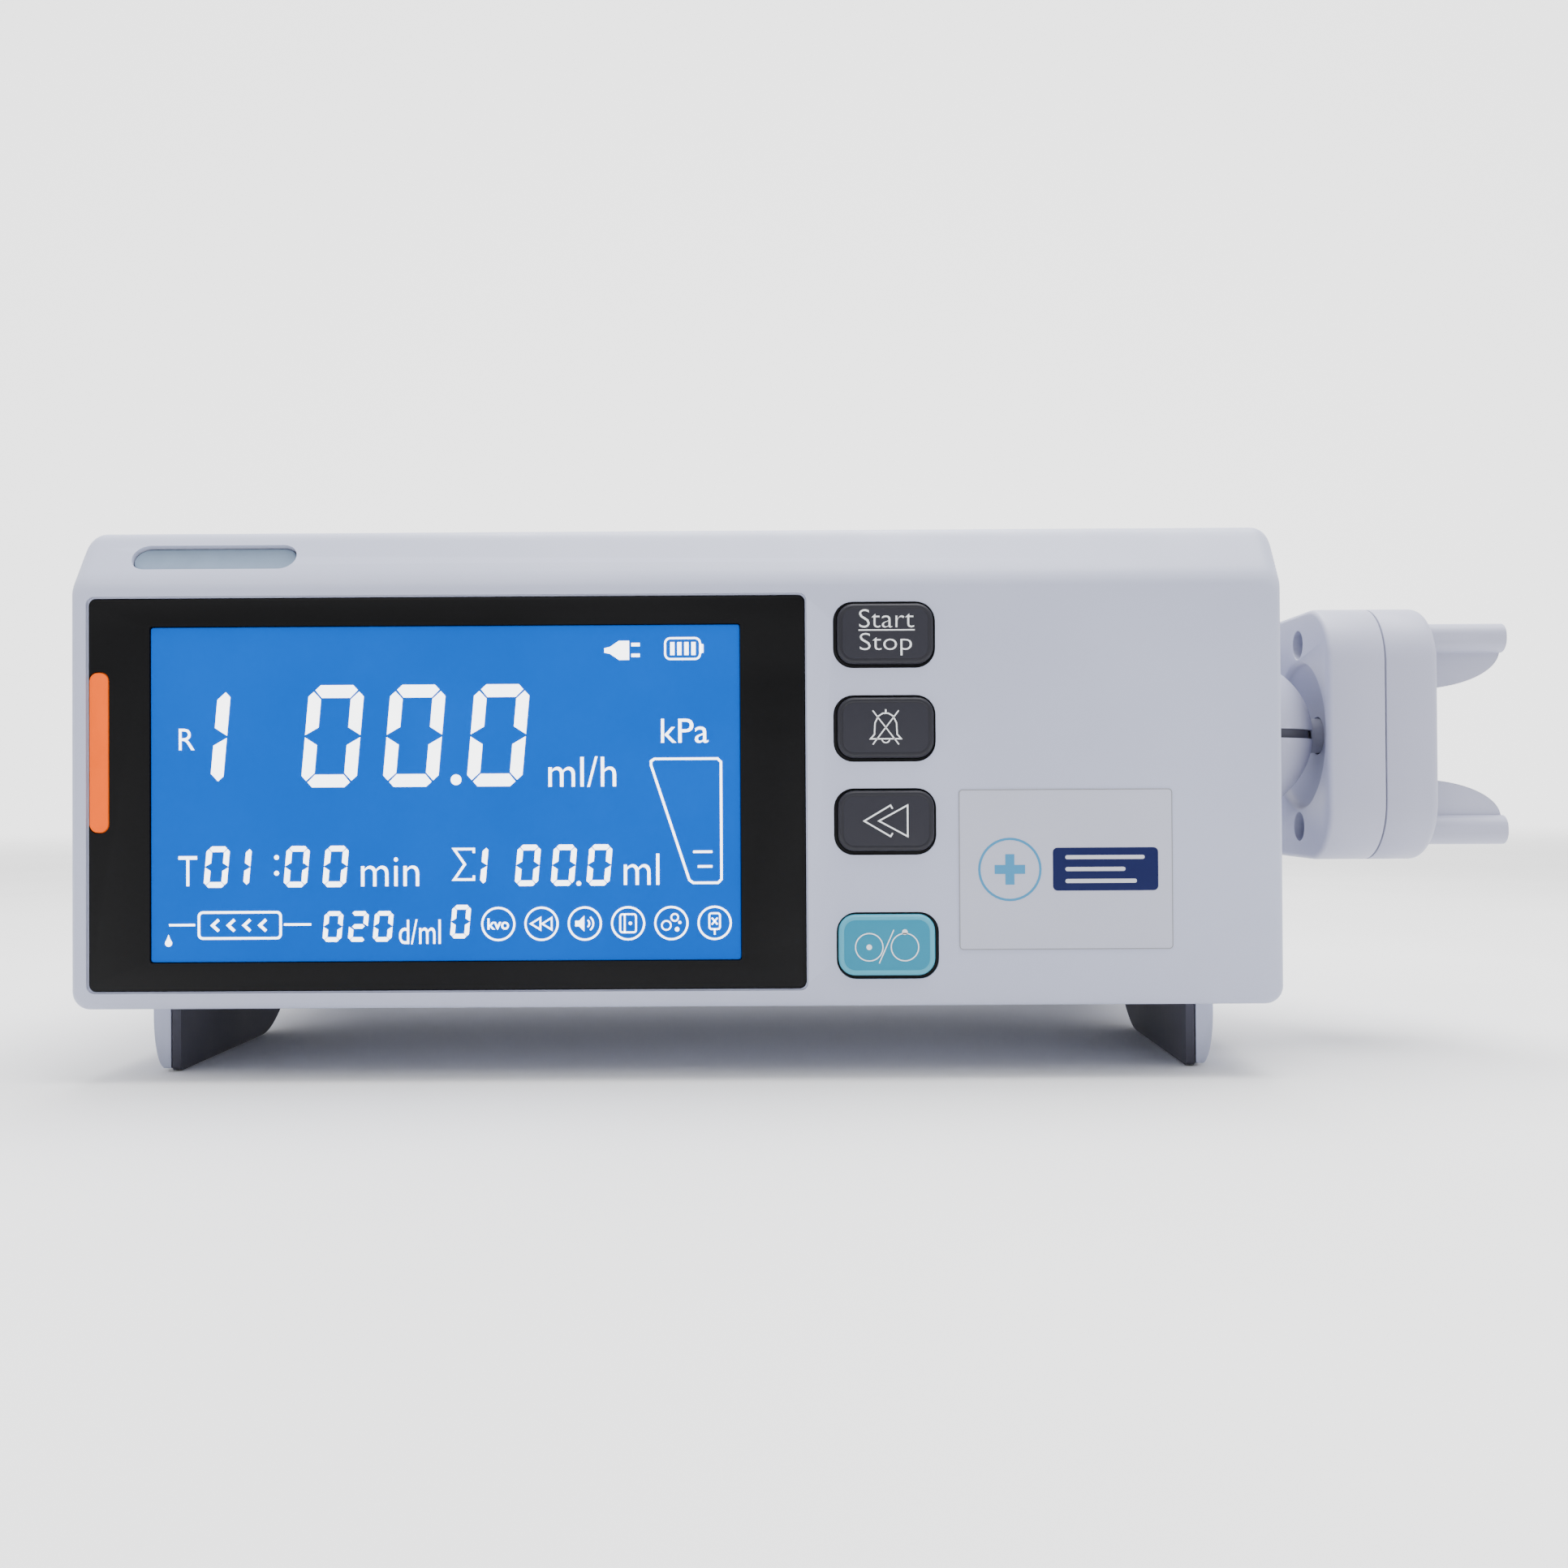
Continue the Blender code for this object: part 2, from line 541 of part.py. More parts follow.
def make_inlet():
    """Mains inlet: a flange outside, a body inside, and a shaped well with three blades."""
    mid_x = sum(INLET_X) / 2
    mid_z = sum(INLET_Z) / 2
    flange_outline = rounded(*grown((*INLET_X, *INLET_Z), 3.5), 3)
    inlet = prism("mains_inlet", flange_outline, "Y", BODY_D + GAP, BODY_D + INLET_PROUD)
    body_x = (INLET_X[0] + GAP, INLET_X[1] - GAP)
    unite(inlet, box("inlet_body", body_x, (BODY_D - 18.0, BODY_D + 1), (INLET_Z[0] + GAP, INLET_Z[1] - GAP)))
    well = rounded(mid_x - 12, mid_x + 12, mid_z - 8, mid_z + 8, 2)
    cut(inlet, prism("inlet_well", well, "Y", BODY_D - 14.0, BODY_D + 3))
    for i, (x, z) in enumerate(((-7, 1.5), (0, -2.5), (7, 1.5))):
        blade_x = (mid_x + x - 1, mid_x + x + 1)
        unite(inlet, box(f"blade_{i}", blade_x, (BODY_D - 15, BODY_D - 3), (mid_z + z - 2, mid_z + z + 2)))
    finish(inlet, "black_plastic")


def make_socket():
    ring = ((9.0, BODY_D + GAP), (9.0, BODY_D + 1.2), (8.4, BODY_D + INLET_PROUD))
    socket = turned("drop_sensor_socket", "Y", SOCKET_AT, ring, steps=20)
    unite(socket, rod("socket_body", "Y", SOCKET_AT, 7.0, BODY_D - 12.0, BODY_D + 1, steps=20))
    cut(socket, rod("socket_well", "Y", SOCKET_AT, 5.2, BODY_D - 8.0, BODY_D + 3, steps=20))
    finish(socket, "black_plastic")


def make_latch():
    pad = box("door_latch", (HALF_W + GAP, HALF_W + 2.0), (25.0, 36.0), (HOOK_Z - 4.0, HOOK_Z + 4.0))
    for i in range(4):
        y = 27.0 + 2.2 * i
        unite(pad, box(f"rib_{i}", (HALF_W + 1, HALF_W + 2.8), (y, y + 1.0), (HOOK_Z - 3.4, HOOK_Z + 3.4)))
    stem = box("latch_stem", (HALF_W - 4, HALF_W + 1), (27.0, 32.0), (HOOK_Z - 1.3, HOOK_Z + 1.3))
    catch_x = (HALF_W - 4.8, HALF_W - WALL - GAP)
    catch = box("latch_catch", catch_x, (24.0, 33.0), (HOOK_Z - 2.4, HOOK_Z + 2.4))
    unite(pad, stem, catch)
    finish(pad, "black_plastic", (HALF_W, 30.0, HOOK_Z))


# Pole clamp -----------------------------------------------------------------------------------------


def block_outline(grow):
    """Well rounded at the front, and less so at the rear."""
    front, back = around_at(CLAMP_Y, BLOCK_DEEP + grow)
    low, high = around_at(CLAMP_Z, BLOCK_HALF + grow)
    wide, slim = BLOCK_R + grow, BLOCK_REAR_R + grow
    return (
        arc((front + wide, low + wide), wide, 180, 270, 8)
        + arc((back - slim, low + slim), slim, 270, 360, 6)
        + arc((back - slim, high - slim), slim, 0, 90, 6)
        + arc((front + wide, high - wide), wide, 90, 180, 8)
    )


def block_part(name, sections):
    rings = [[across("X", point, x) for point in block_outline(-inset)] for x, inset in sections]
    return loft(name, rings)


def make_hub():
    start = math.asin((HALF_W + GAP - HUB_CENTRE_X) / HUB_R)
    end = math.acos(HUB_TIP_R / HUB_R)
    turns = [start + (end - start) * step / 9 for step in range(10)]
    dome = [(HUB_R * math.cos(turn), HUB_CENTRE_X + HUB_R * math.sin(turn)) for turn in turns]
    tip = dome[-1][1] + 0.2
    dome.append((HUB_TIP_R - 0.6, tip))
    hub = turned("clamp_hub", "X", (CLAMP_Y, CLAMP_Z), dome, steps=32)
    slot_z = around_at(CLAMP_Z, HUB_SLOT / 2)
    slot = box("hub_slot", (HALF_W + 0.8, tip + 1), around_at(CLAMP_Y, HUB_R + 1), slot_z)
    cut(hub, slot)
    stem = (("hub_neck", 9.0, HALF_W - 4, HALF_W + 1), ("hub_flange", 11.2, HALF_W - 6, HALF_W - WALL - GAP))
    for name, radius, low, high in stem:
        unite(hub, rod(name, "X", (CLAMP_Y, CLAMP_Z), radius, low, high, steps=24))
    unite(hub, rod("hub_spindle", "X", (CLAMP_Y, CLAMP_Z), 4.2, HALF_W + 2, BLOCK_X[0] + 8.0, steps=16))
    unite(hub, rod("hub_head", "X", (CLAMP_Y, CLAMP_Z), 6.5, BLOCK_X[0] + 7.0, BLOCK_X[0] + 9.0, steps=16))
    finish(hub, "clamp_plastic")


def make_clamp_block():
    left, middle, right = BLOCK_X
    sections = ((left, 1.0), (left + 0.3, 0.3), (left + 1.0, 0), (middle - 0.2, 0))
    inner = block_part("clamp_inner_shell", sections)
    cut(inner, block_part("inner_hollow", ((left + 6.2, 2.2), (middle + 1, 2.2))))
    for side in (-1, 1):
        centre = (CLAMP_Y, CLAMP_Z + side * SCREW_Z)
        unite(inner, rod(f"screw_boss_{side}", "X", centre, 5.0, left + 1, middle - 2.1, steps=16))
        cut(inner, rod(f"screw_well_{side}", "X", centre, SCREW_HOLE_R, left - 1, left + 7.0, steps=16))
        name = "clamp_screw_" + ("lower", "upper")[side > 0]
        screw = rod(name, "X", centre, 2.5, left + 3.0, left + 6.7, steps=12)
        slot = (around_at(CLAMP_Y, 2.2), around_at(centre[1], 0.5))
        cut(screw, box(f"drive_slot_{side}", (left + 2, left + 4.2), *slot))
        finish(screw, "steel")
    rows = ((0, -1.0), (-0.8, 0.6), (-3.4, 2.2), (-7.2, 3.6), (-8.9, 3.8))
    dish = [(DISH_R + grow, left + deep) for grow, deep in rows]
    cut(inner, turned("hub_dish", "X", (CLAMP_Y, CLAMP_Z), dish, steps=32))
    cut(inner, rod("spindle_bore", "X", (CLAMP_Y, CLAMP_Z), 4.6, left - 1, left + 7, steps=16))
    finish(inner, "clamp_plastic", (left, CLAMP_Y, CLAMP_Z))
    edge = 1.8
    sections = ((middle + 0.1, 0), (right - edge, 0), (right - 0.5, 0.5), (right, edge))
    outer = block_part("clamp_outer_shell", sections)
    cut(outer, block_part("outer_hollow", ((middle - 1, 2.2), (right - 2.6, 2.2))))
    slot_z = (CLAMP_Z - JAW_OUT - 0.4, CLAMP_Z + JAW_OUT + 0.4)
    cut(outer, box("jaw_slot", (right - 4, right + 1), around_at(CLAMP_Y, JAW_DEPTH / 2 - 2.1), slot_z))
    cut(outer, rod("knob_bore", "Y", (middle + 4.4, CLAMP_Z), 3.0, CLAMP_Y + 12, CLAMP_Y + 20, steps=16))
    finish(outer, "clamp_plastic", (left, CLAMP_Y, CLAMP_Z))


def make_jaws():
    """Two mirrored prongs. Each is a round-edged bar with a web that curves in towards the block."""
    root = BLOCK_X[2] + GAP
    reach = JAW_TIP_X - root
    bar_in = JAW_OUT - JAW_BAR
    for name, side in (("upper_jaw", 1), ("lower_jaw", -1)):
        bar_outline = rounded(*around_at(CLAMP_Y, JAW_DEPTH / 2), bar_in, JAW_OUT, 2.2)
        bar_outline = [(y, CLAMP_Z + side * z) for y, z in bar_outline]
        jaw = prism(name, bar_outline, "X", root, JAW_TIP_X)
        web = [(root, bar_in + 1), (root, JAW_ROOT_IN)]
        for step in range(1, 9):
            turn = math.radians(90 * step / 8)
            z = bar_in + 0.5 - (bar_in + 0.5 - JAW_ROOT_IN) * math.cos(turn)
            web.append((root + reach * math.sin(turn) * 0.97, z))
        web.append((root + reach * 0.97, bar_in + 1))
        outline = [(x, CLAMP_Z + side * z) for x, z in web]
        unite(jaw, prism(f"{name}_web", outline, "Y", *around_at(CLAMP_Y, JAW_DEPTH / 2 - 2.5)))
        tongue_z = sorted((CLAMP_Z + side * (JAW_ROOT_IN + 3), CLAMP_Z + side * (JAW_OUT - 1.2)))
        tongue_y = around_at(CLAMP_Y, JAW_DEPTH / 2 - 2.6)
        tongue = box(f"{name}_tongue", (BLOCK_X[1] + 3.0, root + 1), tongue_y, tongue_z)
        rack_x = BLOCK_X[1] + 4.4 - side * RACK_PITCH_R
        rack_z = sorted((CLAMP_Z - side * 1.5, CLAMP_Z + side * (JAW_OUT - 3)))
        rack = box(f"{name}_rack", around_at(rack_x - side * 0.9, 0.8), around_at(CLAMP_Y + 3.0, 1.5), rack_z)
        foot_x = sorted((rack_x - side * 1.7, BLOCK_X[1] + 5.0))
        foot_z = sorted((CLAMP_Z + side * (JAW_OUT - 7), CLAMP_Z + side * (JAW_OUT - 3)))
        unite(jaw, tongue, rack, box(f"{name}_foot", foot_x, around_at(CLAMP_Y + 3.0, 1.5), foot_z))
        finish(jaw, "clamp_plastic", (BLOCK_X[2], CLAMP_Y, CLAMP_Z + side * JAW_OUT))


def make_knob():
    centre = (BLOCK_X[1] + 4.4, CLAMP_Z)
    profile = ((KNOB_R - 1, KNOB_Y[0]), (KNOB_R, KNOB_Y[0] + 1), (KNOB_R, KNOB_Y[1]))
    knob = turned("clamp_knob", "Y", centre, profile)
    for i in range(8):
        turn = 2 * math.pi * i / 8
        at = (centre[0] + (KNOB_R + 0.8) * math.cos(turn), centre[1] + (KNOB_R + 0.8) * math.sin(turn))
        cut(knob, rod(f"grip_{i}", "Y", at, 1.9, KNOB_Y[0] - 1, KNOB_Y[1] + 1, steps=10))
    unite(knob, rod("knob_stem", "Y", centre, 2.7, CLAMP_Y + 1.4, KNOB_Y[0] + 1, steps=16))
    finish(knob, "black_plastic", (centre[0], CLAMP_Y, centre[1]))


# Feet -----------------------------------------------------------------------------------------------


def skid_profile(steps=6):
    """Y and lowest Z along a skid: flat from a small front radius back to a long rise at the rear."""
    front, flat_to, back = SKID_Y
    edge = SKID_FRONT_R
    points = [(front, edge), (front + 0.3 * edge, 0.3 * edge), (front + edge, 0.0)]
    for i in range(steps + 1):
        share = i / steps
        lift = SKID_BACK_RISE * (1 - math.cos(share * math.pi / 2))
        points.append((flat_to + (back - flat_to) * share, lift))
    return points


def make_feet():
    for name, side in (("left", -1), ("right", 1)):
        high = FOOT_H - GAP
        section = ((3.2, 1.0), (3.2, 0.75), (2.6, 0.35), (1.2, 0.0), (0, 0.0), (0, 1.0))
        inner_x = SKID_X - 3.2
        fin = []
        pad = []
        for y, low in skid_profile():
            low_fin = low + GAP
            fin.append([(side * (inner_x + out), y, low_fin + (high - low_fin) * up) for out, up in section])
            near, far = side * (inner_x - GAP), side * (inner_x - GAP - PAD_T)
            pad.append([(near, y, low), (far, y, low), (far, y, high), (near, y, high)])
        finish(loft(f"skid_{name}", fin), "housing_plastic")
        finish(loft(f"skid_pad_{name}", pad), "rubber")
        centre = (side * REAR_FOOT_AT[0], REAR_FOOT_AT[1])
        profile = ((REAR_FOOT_R - 1.6, 0.0), (REAR_FOOT_R - 0.6, 1.0), (REAR_FOOT_R + 0.8, high))
        finish(turned(f"rear_foot_{name}", "Z", centre, profile, steps=20), "rubber")


clear_scene()
PAINTS = make_materials()
BASE = make_base()
make_door_shell()
make_display()
make_keys()
make_door_back()
make_rear_housing()
make_chassis()
make_sensors()
make_drive()
make_electronics()
make_latch()
make_hub()
make_clamp_block()
make_jaws()
make_knob()
make_feet()
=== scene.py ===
"""Looks of the infusion pump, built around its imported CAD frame.

Lengths are in millimetres, in a frame whose X is 0 in the middle of the door, whose Y is 0 on the door's
front face and whose Z is 0 on the surface that the feet stand on. solid() turns them into row-frame metres.
"""
import json
import math

import bmesh
import bpy
from mathutils import Matrix, Vector


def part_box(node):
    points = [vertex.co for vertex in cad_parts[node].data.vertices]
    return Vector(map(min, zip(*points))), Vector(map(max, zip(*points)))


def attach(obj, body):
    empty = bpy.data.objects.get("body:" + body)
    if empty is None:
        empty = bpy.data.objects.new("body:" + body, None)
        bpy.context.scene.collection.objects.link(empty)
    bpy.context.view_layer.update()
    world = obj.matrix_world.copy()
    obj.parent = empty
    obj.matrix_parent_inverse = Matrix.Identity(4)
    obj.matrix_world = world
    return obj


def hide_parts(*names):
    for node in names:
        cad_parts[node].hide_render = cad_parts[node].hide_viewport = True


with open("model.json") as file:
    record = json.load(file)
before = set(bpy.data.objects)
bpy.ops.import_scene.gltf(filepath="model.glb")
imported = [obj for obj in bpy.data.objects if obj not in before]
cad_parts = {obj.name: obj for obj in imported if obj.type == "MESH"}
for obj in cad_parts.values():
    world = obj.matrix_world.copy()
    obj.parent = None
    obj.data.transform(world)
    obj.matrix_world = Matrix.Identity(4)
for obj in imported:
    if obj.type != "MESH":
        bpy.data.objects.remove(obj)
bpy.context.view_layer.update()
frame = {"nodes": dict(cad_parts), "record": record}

MM = 0.001
SQUARE = ((-1, -1), (1, -1), (1, 1), (-1, 1))
DOOR_LOW, DOOR_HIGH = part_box("door_shell")
ORIGIN = Vector(((DOOR_LOW.x + DOOR_HIGH.x) / 2, DOOR_LOW.y, 0.0))
KEYS = ("key_start_stop", "key_mute", "key_fast", "key_power")


def limits(node):
    """The lowest and highest corner of a CAD node, in this script's millimetres."""
    low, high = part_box(node)
    return (low - ORIGIN) / MM, (high - ORIGIN) / MM


def mid(node, axes):
    """The middle of a CAD node along each of the named axes."""
    low, high = limits(node)
    return tuple((getattr(low, axis) + getattr(high, axis)) / 2 for axis in axes)


DOOR_A, DOOR_B = limits("door_shell")
HOUSE_A, HOUSE_B = limits("rear_housing")
HALF_W = DOOR_B.x
BASE_Z = DOOR_A.z
TOP = DOOR_B.z
SEAM = DOOR_B.y
WALL = 2.4
CORNER_R = 3.2

# The slanted upper edge: the height it starts at, its depth and height, and its easing into the top.
FRONT_TOP = BASE_Z + 75.8
CHAMFER_D = 6.5
CHAMFER_H = TOP - FRONT_TOP
CHAMFER_EASE = 1.2

# Door fittings: corner radii, the gap round the keys and how far it is shifted, and the hinge's lugs. The
# shift is painted shade: the keys' shadow crescent, drawn as a wider black gap.
KEY_R = 3.0
LAMP_R = 2.85
WINDOW_R = 1.3
LIGHT_BAR_R = 1.5
WELL_GAP = 0.5
WELL_ASIDE, WELL_DOWN = 0.18, 0.13
LUG_HALF = 3.4
LUG_R = 3.85
PIN_BORE_R = 1.5
LCD_FACE = 0.42
LABEL_FACE = -0.16

# Pole clamp: the block's corners and wall, the hub's dome, slot and neck, the block's dish, the prongs.
BLOCK_R, BLOCK_REAR_R, BLOCK_WALL = 11.5, 5.0, 2.2
DOME_R, DOME_TIP_R = 15.7, 3.6
SLOT_HALF = 0.9
NECK_R, FLANGE_R, SPINDLE_R = 9.0, 11.2, 3.5
DISH_R, DISH_FLOOR_R, DISH_DEPTH = 14.4, 5.4, 3.1
PRONG_OUT, PRONG_THICK = 22.0, 5.8
PRONG_HALF, WEB_HALF = 7.5, 5.0

# Stage. Camera angles are in degrees, light powers in watts, and FLOOR_FADE alone is in metres.
CAMERA_AT = (22.9, -247.9, 50.5)
CAMERA_TILT, CAMERA_YAW, CAMERA_ROLL = 90.51, 0.15, -0.32
LIGHT_TARGET = (0, 40, 55)
LIGHTS = (
    ("key_light", (-300, -700, 900), (500, 400), 3.3),
    ("top_light", (100, 100, 900), (900, 600), 21.5),
)
STUDIO_WALLS = (0.2, 3.2)
FLOOR_HALF, FLOOR_Z = 3000, -0.2
FLOOR_FADE = (0.45, 2.2)

# --- Node trees ---


def new_material(name, roughness, metallic=0.0, mirror=0.5):
    material = bpy.data.materials.new(name)
    material.use_nodes = True
    shader = material.node_tree.nodes["Principled BSDF"]
    shader.inputs["Specular IOR Level"].default_value = mirror
    shader.inputs["Roughness"].default_value = roughness
    shader.inputs["Metallic"].default_value = metallic
    return material, material.node_tree, shader


def new_node(tree, kind, inputs):
    """A shader node of this kind. An input given a socket is linked to it, and any other is set."""
    made = tree.nodes.new("ShaderNode" + kind)
    for name, value in inputs.items():
        if isinstance(value, bpy.types.NodeSocket):
            tree.links.new(value, made.inputs[name])
        else:
            made.inputs[name].default_value = value
    return made


def own_space(tree):
    return new_node(tree, "TexCoord", {}).outputs["Object"]


def noise(tree, scale, detail=4.0, stretch=(1, 1, 1)):
    """Noise laid in the piece's own space, at so many features for each metre."""
    place = new_node(tree, "Mapping", {"Vector": own_space(tree), "Scale": stretch}).outputs["Vector"]
    return new_node(tree, "TexNoise", {"Vector": place, "Scale": scale, "Detail": detail}).outputs["Fac"]


def ramp(tree, factor, low, high, stops=(0.35, 0.65)):
    """A colour or grey value that runs between two ends as the factor grows."""
    made = new_node(tree, "ValToRGB", {"Fac": factor})
    for element, at, value in zip(made.color_ramp.elements, stops, (low, high)):
        element.position = at
        element.color = (*value, 1.0) if isinstance(value, tuple) else (value, value, value, 1.0)
    return made.outputs["Color"]


def mix(tree, factor, first, colour):
    made = new_node(tree, "MixRGB", {"Fac": factor, "Color1": first, "Color2": (*colour, 1.0)})
    return made.outputs["Color"]


def bump(tree, shader, height, strength, distance):
    made = new_node(tree, "Bump", {"Strength": strength, "Distance": distance, "Height": height})
    tree.links.new(made.outputs["Normal"], shader.inputs["Normal"])


def shade(colour, factor):
    return tuple(min(1.0, value * factor) for value in colour)


def moulded(name, colour, roughness=0.45, grain=2600.0, depth=2e-5, mottle=0.035, edge_paling=0.0, mirror=0.5):
    """Moulded plastic: spark-eroded grain, a slow drift of tone, uneven gloss and paler colour on convex
    edges.
    """
    material, tree, shader = new_material(name, roughness, mirror=mirror)
    tone = ramp(tree, noise(tree, 14.0, 3.0), shade(colour, 1 - mottle), shade(colour, 1 + mottle))
    if edge_paling:
        # Lighter colour on convex edges, by how pointed the surface is there.
        pointiness = new_node(tree, "NewGeometry", {}).outputs["Pointiness"]
        tone = mix(tree, ramp(tree, pointiness, 0.0, edge_paling, (0.52, 0.60)), tone, shade(colour, 1.25))
    tree.links.new(tone, shader.inputs["Base Color"])
    gloss = ramp(tree, noise(tree, 60.0, 5.0), roughness - 0.05, roughness + 0.06)
    tree.links.new(gloss, shader.inputs["Roughness"])
    bump(tree, shader, noise(tree, grain, 2.0), 0.35, depth)
    return material


def lit(name, colour, roughness, glow, texture_scale=180.0, mirror=0.08):
    """A back-lit panel or lens: slight cloudiness in its colour and a steady glow."""
    material, tree, shader = new_material(name, roughness, mirror=mirror)
    tone = ramp(tree, noise(tree, texture_scale, 3.0), shade(colour, 0.97), shade(colour, 1.03))
    tree.links.new(tone, shader.inputs["Base Color"])
    tree.links.new(tone, shader.inputs["Emission Color"])
    shader.inputs["Emission Strength"].default_value = glow
    bump(tree, shader, noise(tree, 900.0, 2.0), 0.1, 1e-5)
    return material


def glossy(name, colour, roughness):
    """A smooth hard surface with faint cloudiness and fine wipe marks in its gloss."""
    material, tree, shader = new_material(name, roughness, mirror=0.12)
    tone = ramp(tree, noise(tree, 30.0, 4.0), shade(colour, 0.9), shade(colour, 1.1))
    tree.links.new(tone, shader.inputs["Base Color"])
    wipes = noise(tree, 90.0, 6.0, (0.15, 1, 1))
    tree.links.new(ramp(tree, wipes, roughness - 0.04, roughness + 0.08), shader.inputs["Roughness"])
    bump(tree, shader, noise(tree, 1500.0, 2.0), 0.08, 1e-5)
    return material


def metal(name, colour, roughness, stretch=(1, 30, 30)):
    """Machined metal: fine tool lines along one axis and cloudy gloss."""
    material, tree, shader = new_material(name, roughness, 1.0)
    tone = ramp(tree, noise(tree, 40.0, 4.0), shade(colour, 0.88), shade(colour, 1.05))
    tree.links.new(tone, shader.inputs["Base Color"])
    lines = noise(tree, 260.0, 4.0, stretch)
    tree.links.new(ramp(tree, lines, roughness - 0.08, roughness + 0.12), shader.inputs["Roughness"])
    bump(tree, shader, lines, 0.25, 3e-5)
    return material


def board_material():
    """Solder mask with traces: cells in two greens and small pale pads."""
    material, tree, shader = new_material("look_circuit_board", 0.4)
    cells = new_node(tree, "TexVoronoi", {"Vector": own_space(tree), "Scale": 320.0})
    cells.distance = "MANHATTAN"
    distance = cells.outputs["Distance"]
    traces = ramp(tree, distance, (0.012, 0.11, 0.045), (0.02, 0.19, 0.08), (0.3, 0.5))
    pads = ramp(tree, distance, 1.0, 0.0, (0.07, 0.12))
    tree.links.new(mix(tree, pads, traces, (0.62, 0.58, 0.45)), shader.inputs["Base Color"])
    bump(tree, shader, distance, 0.3, 8e-5)
    return material


BODY_GREY = (0.425, 0.45, 0.585)
LOOKS = {
    "housing_plastic": moulded("look_housing", BODY_GREY, 0.46, edge_paling=0.25),
    "door_plastic": moulded("look_door", BODY_GREY, 0.44, edge_paling=0.25),
    "clamp_plastic": moulded("look_clamp", (0.385, 0.395, 0.51), 0.48, edge_paling=0.2),
    # A darker copy of the clamp plastic: painted shade for the spindle deep in the dish.
    "clamp_painted_shade": moulded("look_clamp_painted_shade", (0.26, 0.265, 0.335), 0.6, mirror=0.3),
    # Near-black clamp plastic: painted shadow, laid as a sheet in the hub's slot.
    "clamp_painted_shadow": moulded("look_clamp_painted_shadow", (0.075, 0.075, 0.095), 0.6, mirror=0.2),
    "window_glass": glossy("look_window", (0.004, 0.004, 0.0045), 0.45),
    "lcd_glass": lit("look_lcd", (0.0, 0.082, 0.47), 0.6, 0.17, 60.0, 0.02),
    "lcd_white": lit("look_lcd_segment", (0.95, 0.97, 1.0), 0.4, 3.5),
    "amber_lens": lit("look_amber", (0.93, 0.115, 0.0), 0.55, 0.14, 180.0, 0.03),
    "lamp_lens": lit("look_lamp", (0.17, 0.225, 0.305), 0.3, 0.02, 300.0),
    "key_dark": moulded("look_key", (0.019, 0.019, 0.027), 0.55, depth=1.2e-5, edge_paling=0.2, mirror=0.25),
    "key_rim": moulded("look_key_rim", (0.017, 0.017, 0.023), 0.45, depth=1e-5, mirror=0.25),
    "key_teal": moulded("look_key_teal", (0.014, 0.215, 0.34), 0.5, depth=1.2e-5, edge_paling=0.2, mirror=0.3),
    # The teal rim is a lighter copy of the key's teal: painted highlight on its bevel.
    "teal_rim_painted_highlight": moulded("look_teal_rim_painted_highlight", (0.06, 0.34, 0.47), 0.42, depth=1e-5, mirror=0.35),
    "key_mark": moulded("look_key_mark", (0.82, 0.84, 0.86), 0.5, depth=6e-6),
    "well_black": moulded("look_black_well_and_painted_shade", (0.006, 0.006, 0.007), 0.7, mirror=0.2),
    "label_film": moulded("look_label", (0.43, 0.445, 0.545), 0.5, grain=1400.0, depth=1e-5, mottle=0.05),
    "label_blue": moulded("look_label_blue", (0.03, 0.22, 0.42), 0.45, depth=6e-6),
    "label_grey": moulded("look_label_grey", (0.22, 0.225, 0.25), 0.5, depth=6e-6),
    "label_navy": moulded("look_label_navy", (0.002, 0.006, 0.06), 0.45, depth=6e-6, mirror=0.2),
    "label_pale": moulded("look_label_pale", (0.50, 0.52, 0.58), 0.5, depth=6e-6),
    "rubber": moulded(
        "look_rubber", (0.055, 0.055, 0.075), 0.75, grain=1500.0, depth=5e-5, mottle=0.15, mirror=0.3
    ),
    "black_plastic": moulded("look_black", (0.022, 0.022, 0.024), 0.5, mottle=0.1, edge_paling=0.3),
    "white_acetal": moulded("look_acetal", (0.72, 0.72, 0.69), 0.4, depth=1e-5),
    "circuit_board": board_material(),
    "cell_wrap": glossy("look_cell_wrap", (0.02, 0.07, 0.22), 0.35),
    "steel": metal("look_steel", (0.55, 0.55, 0.56), 0.32),
    "aluminium": metal("look_aluminium", (0.72, 0.72, 0.73), 0.4, (30, 30, 1)),
    "brass": metal("look_brass", (0.68, 0.50, 0.20), 0.35),
}

# --- Solids ---


def placed(name, data):
    obj = bpy.data.objects.new(name, data)
    bpy.context.scene.collection.objects.link(obj)
    return obj


def mesh_object(name, work):
    """The finished bmesh as an object, with its faces turned outwards."""
    mesh = bpy.data.meshes.new(name)
    bmesh.ops.recalc_face_normals(work, faces=work.faces)
    work.to_mesh(mesh)
    work.free()
    return placed(name, mesh)


def solid(name, points, faces):
    """A mesh object in the row frame from points in mm."""
    work = bmesh.new()
    verts = [work.verts.new(Vector(point) * MM + ORIGIN) for point in points]
    for face in faces:
        work.faces.new([verts[i] for i in face])
    return mesh_object(name, work)


def loft(name, rings):
    count = len(rings[0])
    points = [point for ring in rings for point in ring]
    faces = [tuple(range(count)), tuple(range(len(points) - count, len(points)))]
    for start in range(0, len(points) - count, count):
        for i in range(count):
            j = (i + 1) % count
            faces.append((start + i, start + j, start + count + j, start + count + i))
    return solid(name, points, faces)


def across(axis, point, along):
    a, b = point
    return {"X": (along, a, b), "Y": (a, along, b), "Z": (a, b, along)}[axis]


def prism(name, outline, axis, low, high):
    return loft(name, [[across(axis, point, along) for point in outline] for along in (low, high)])


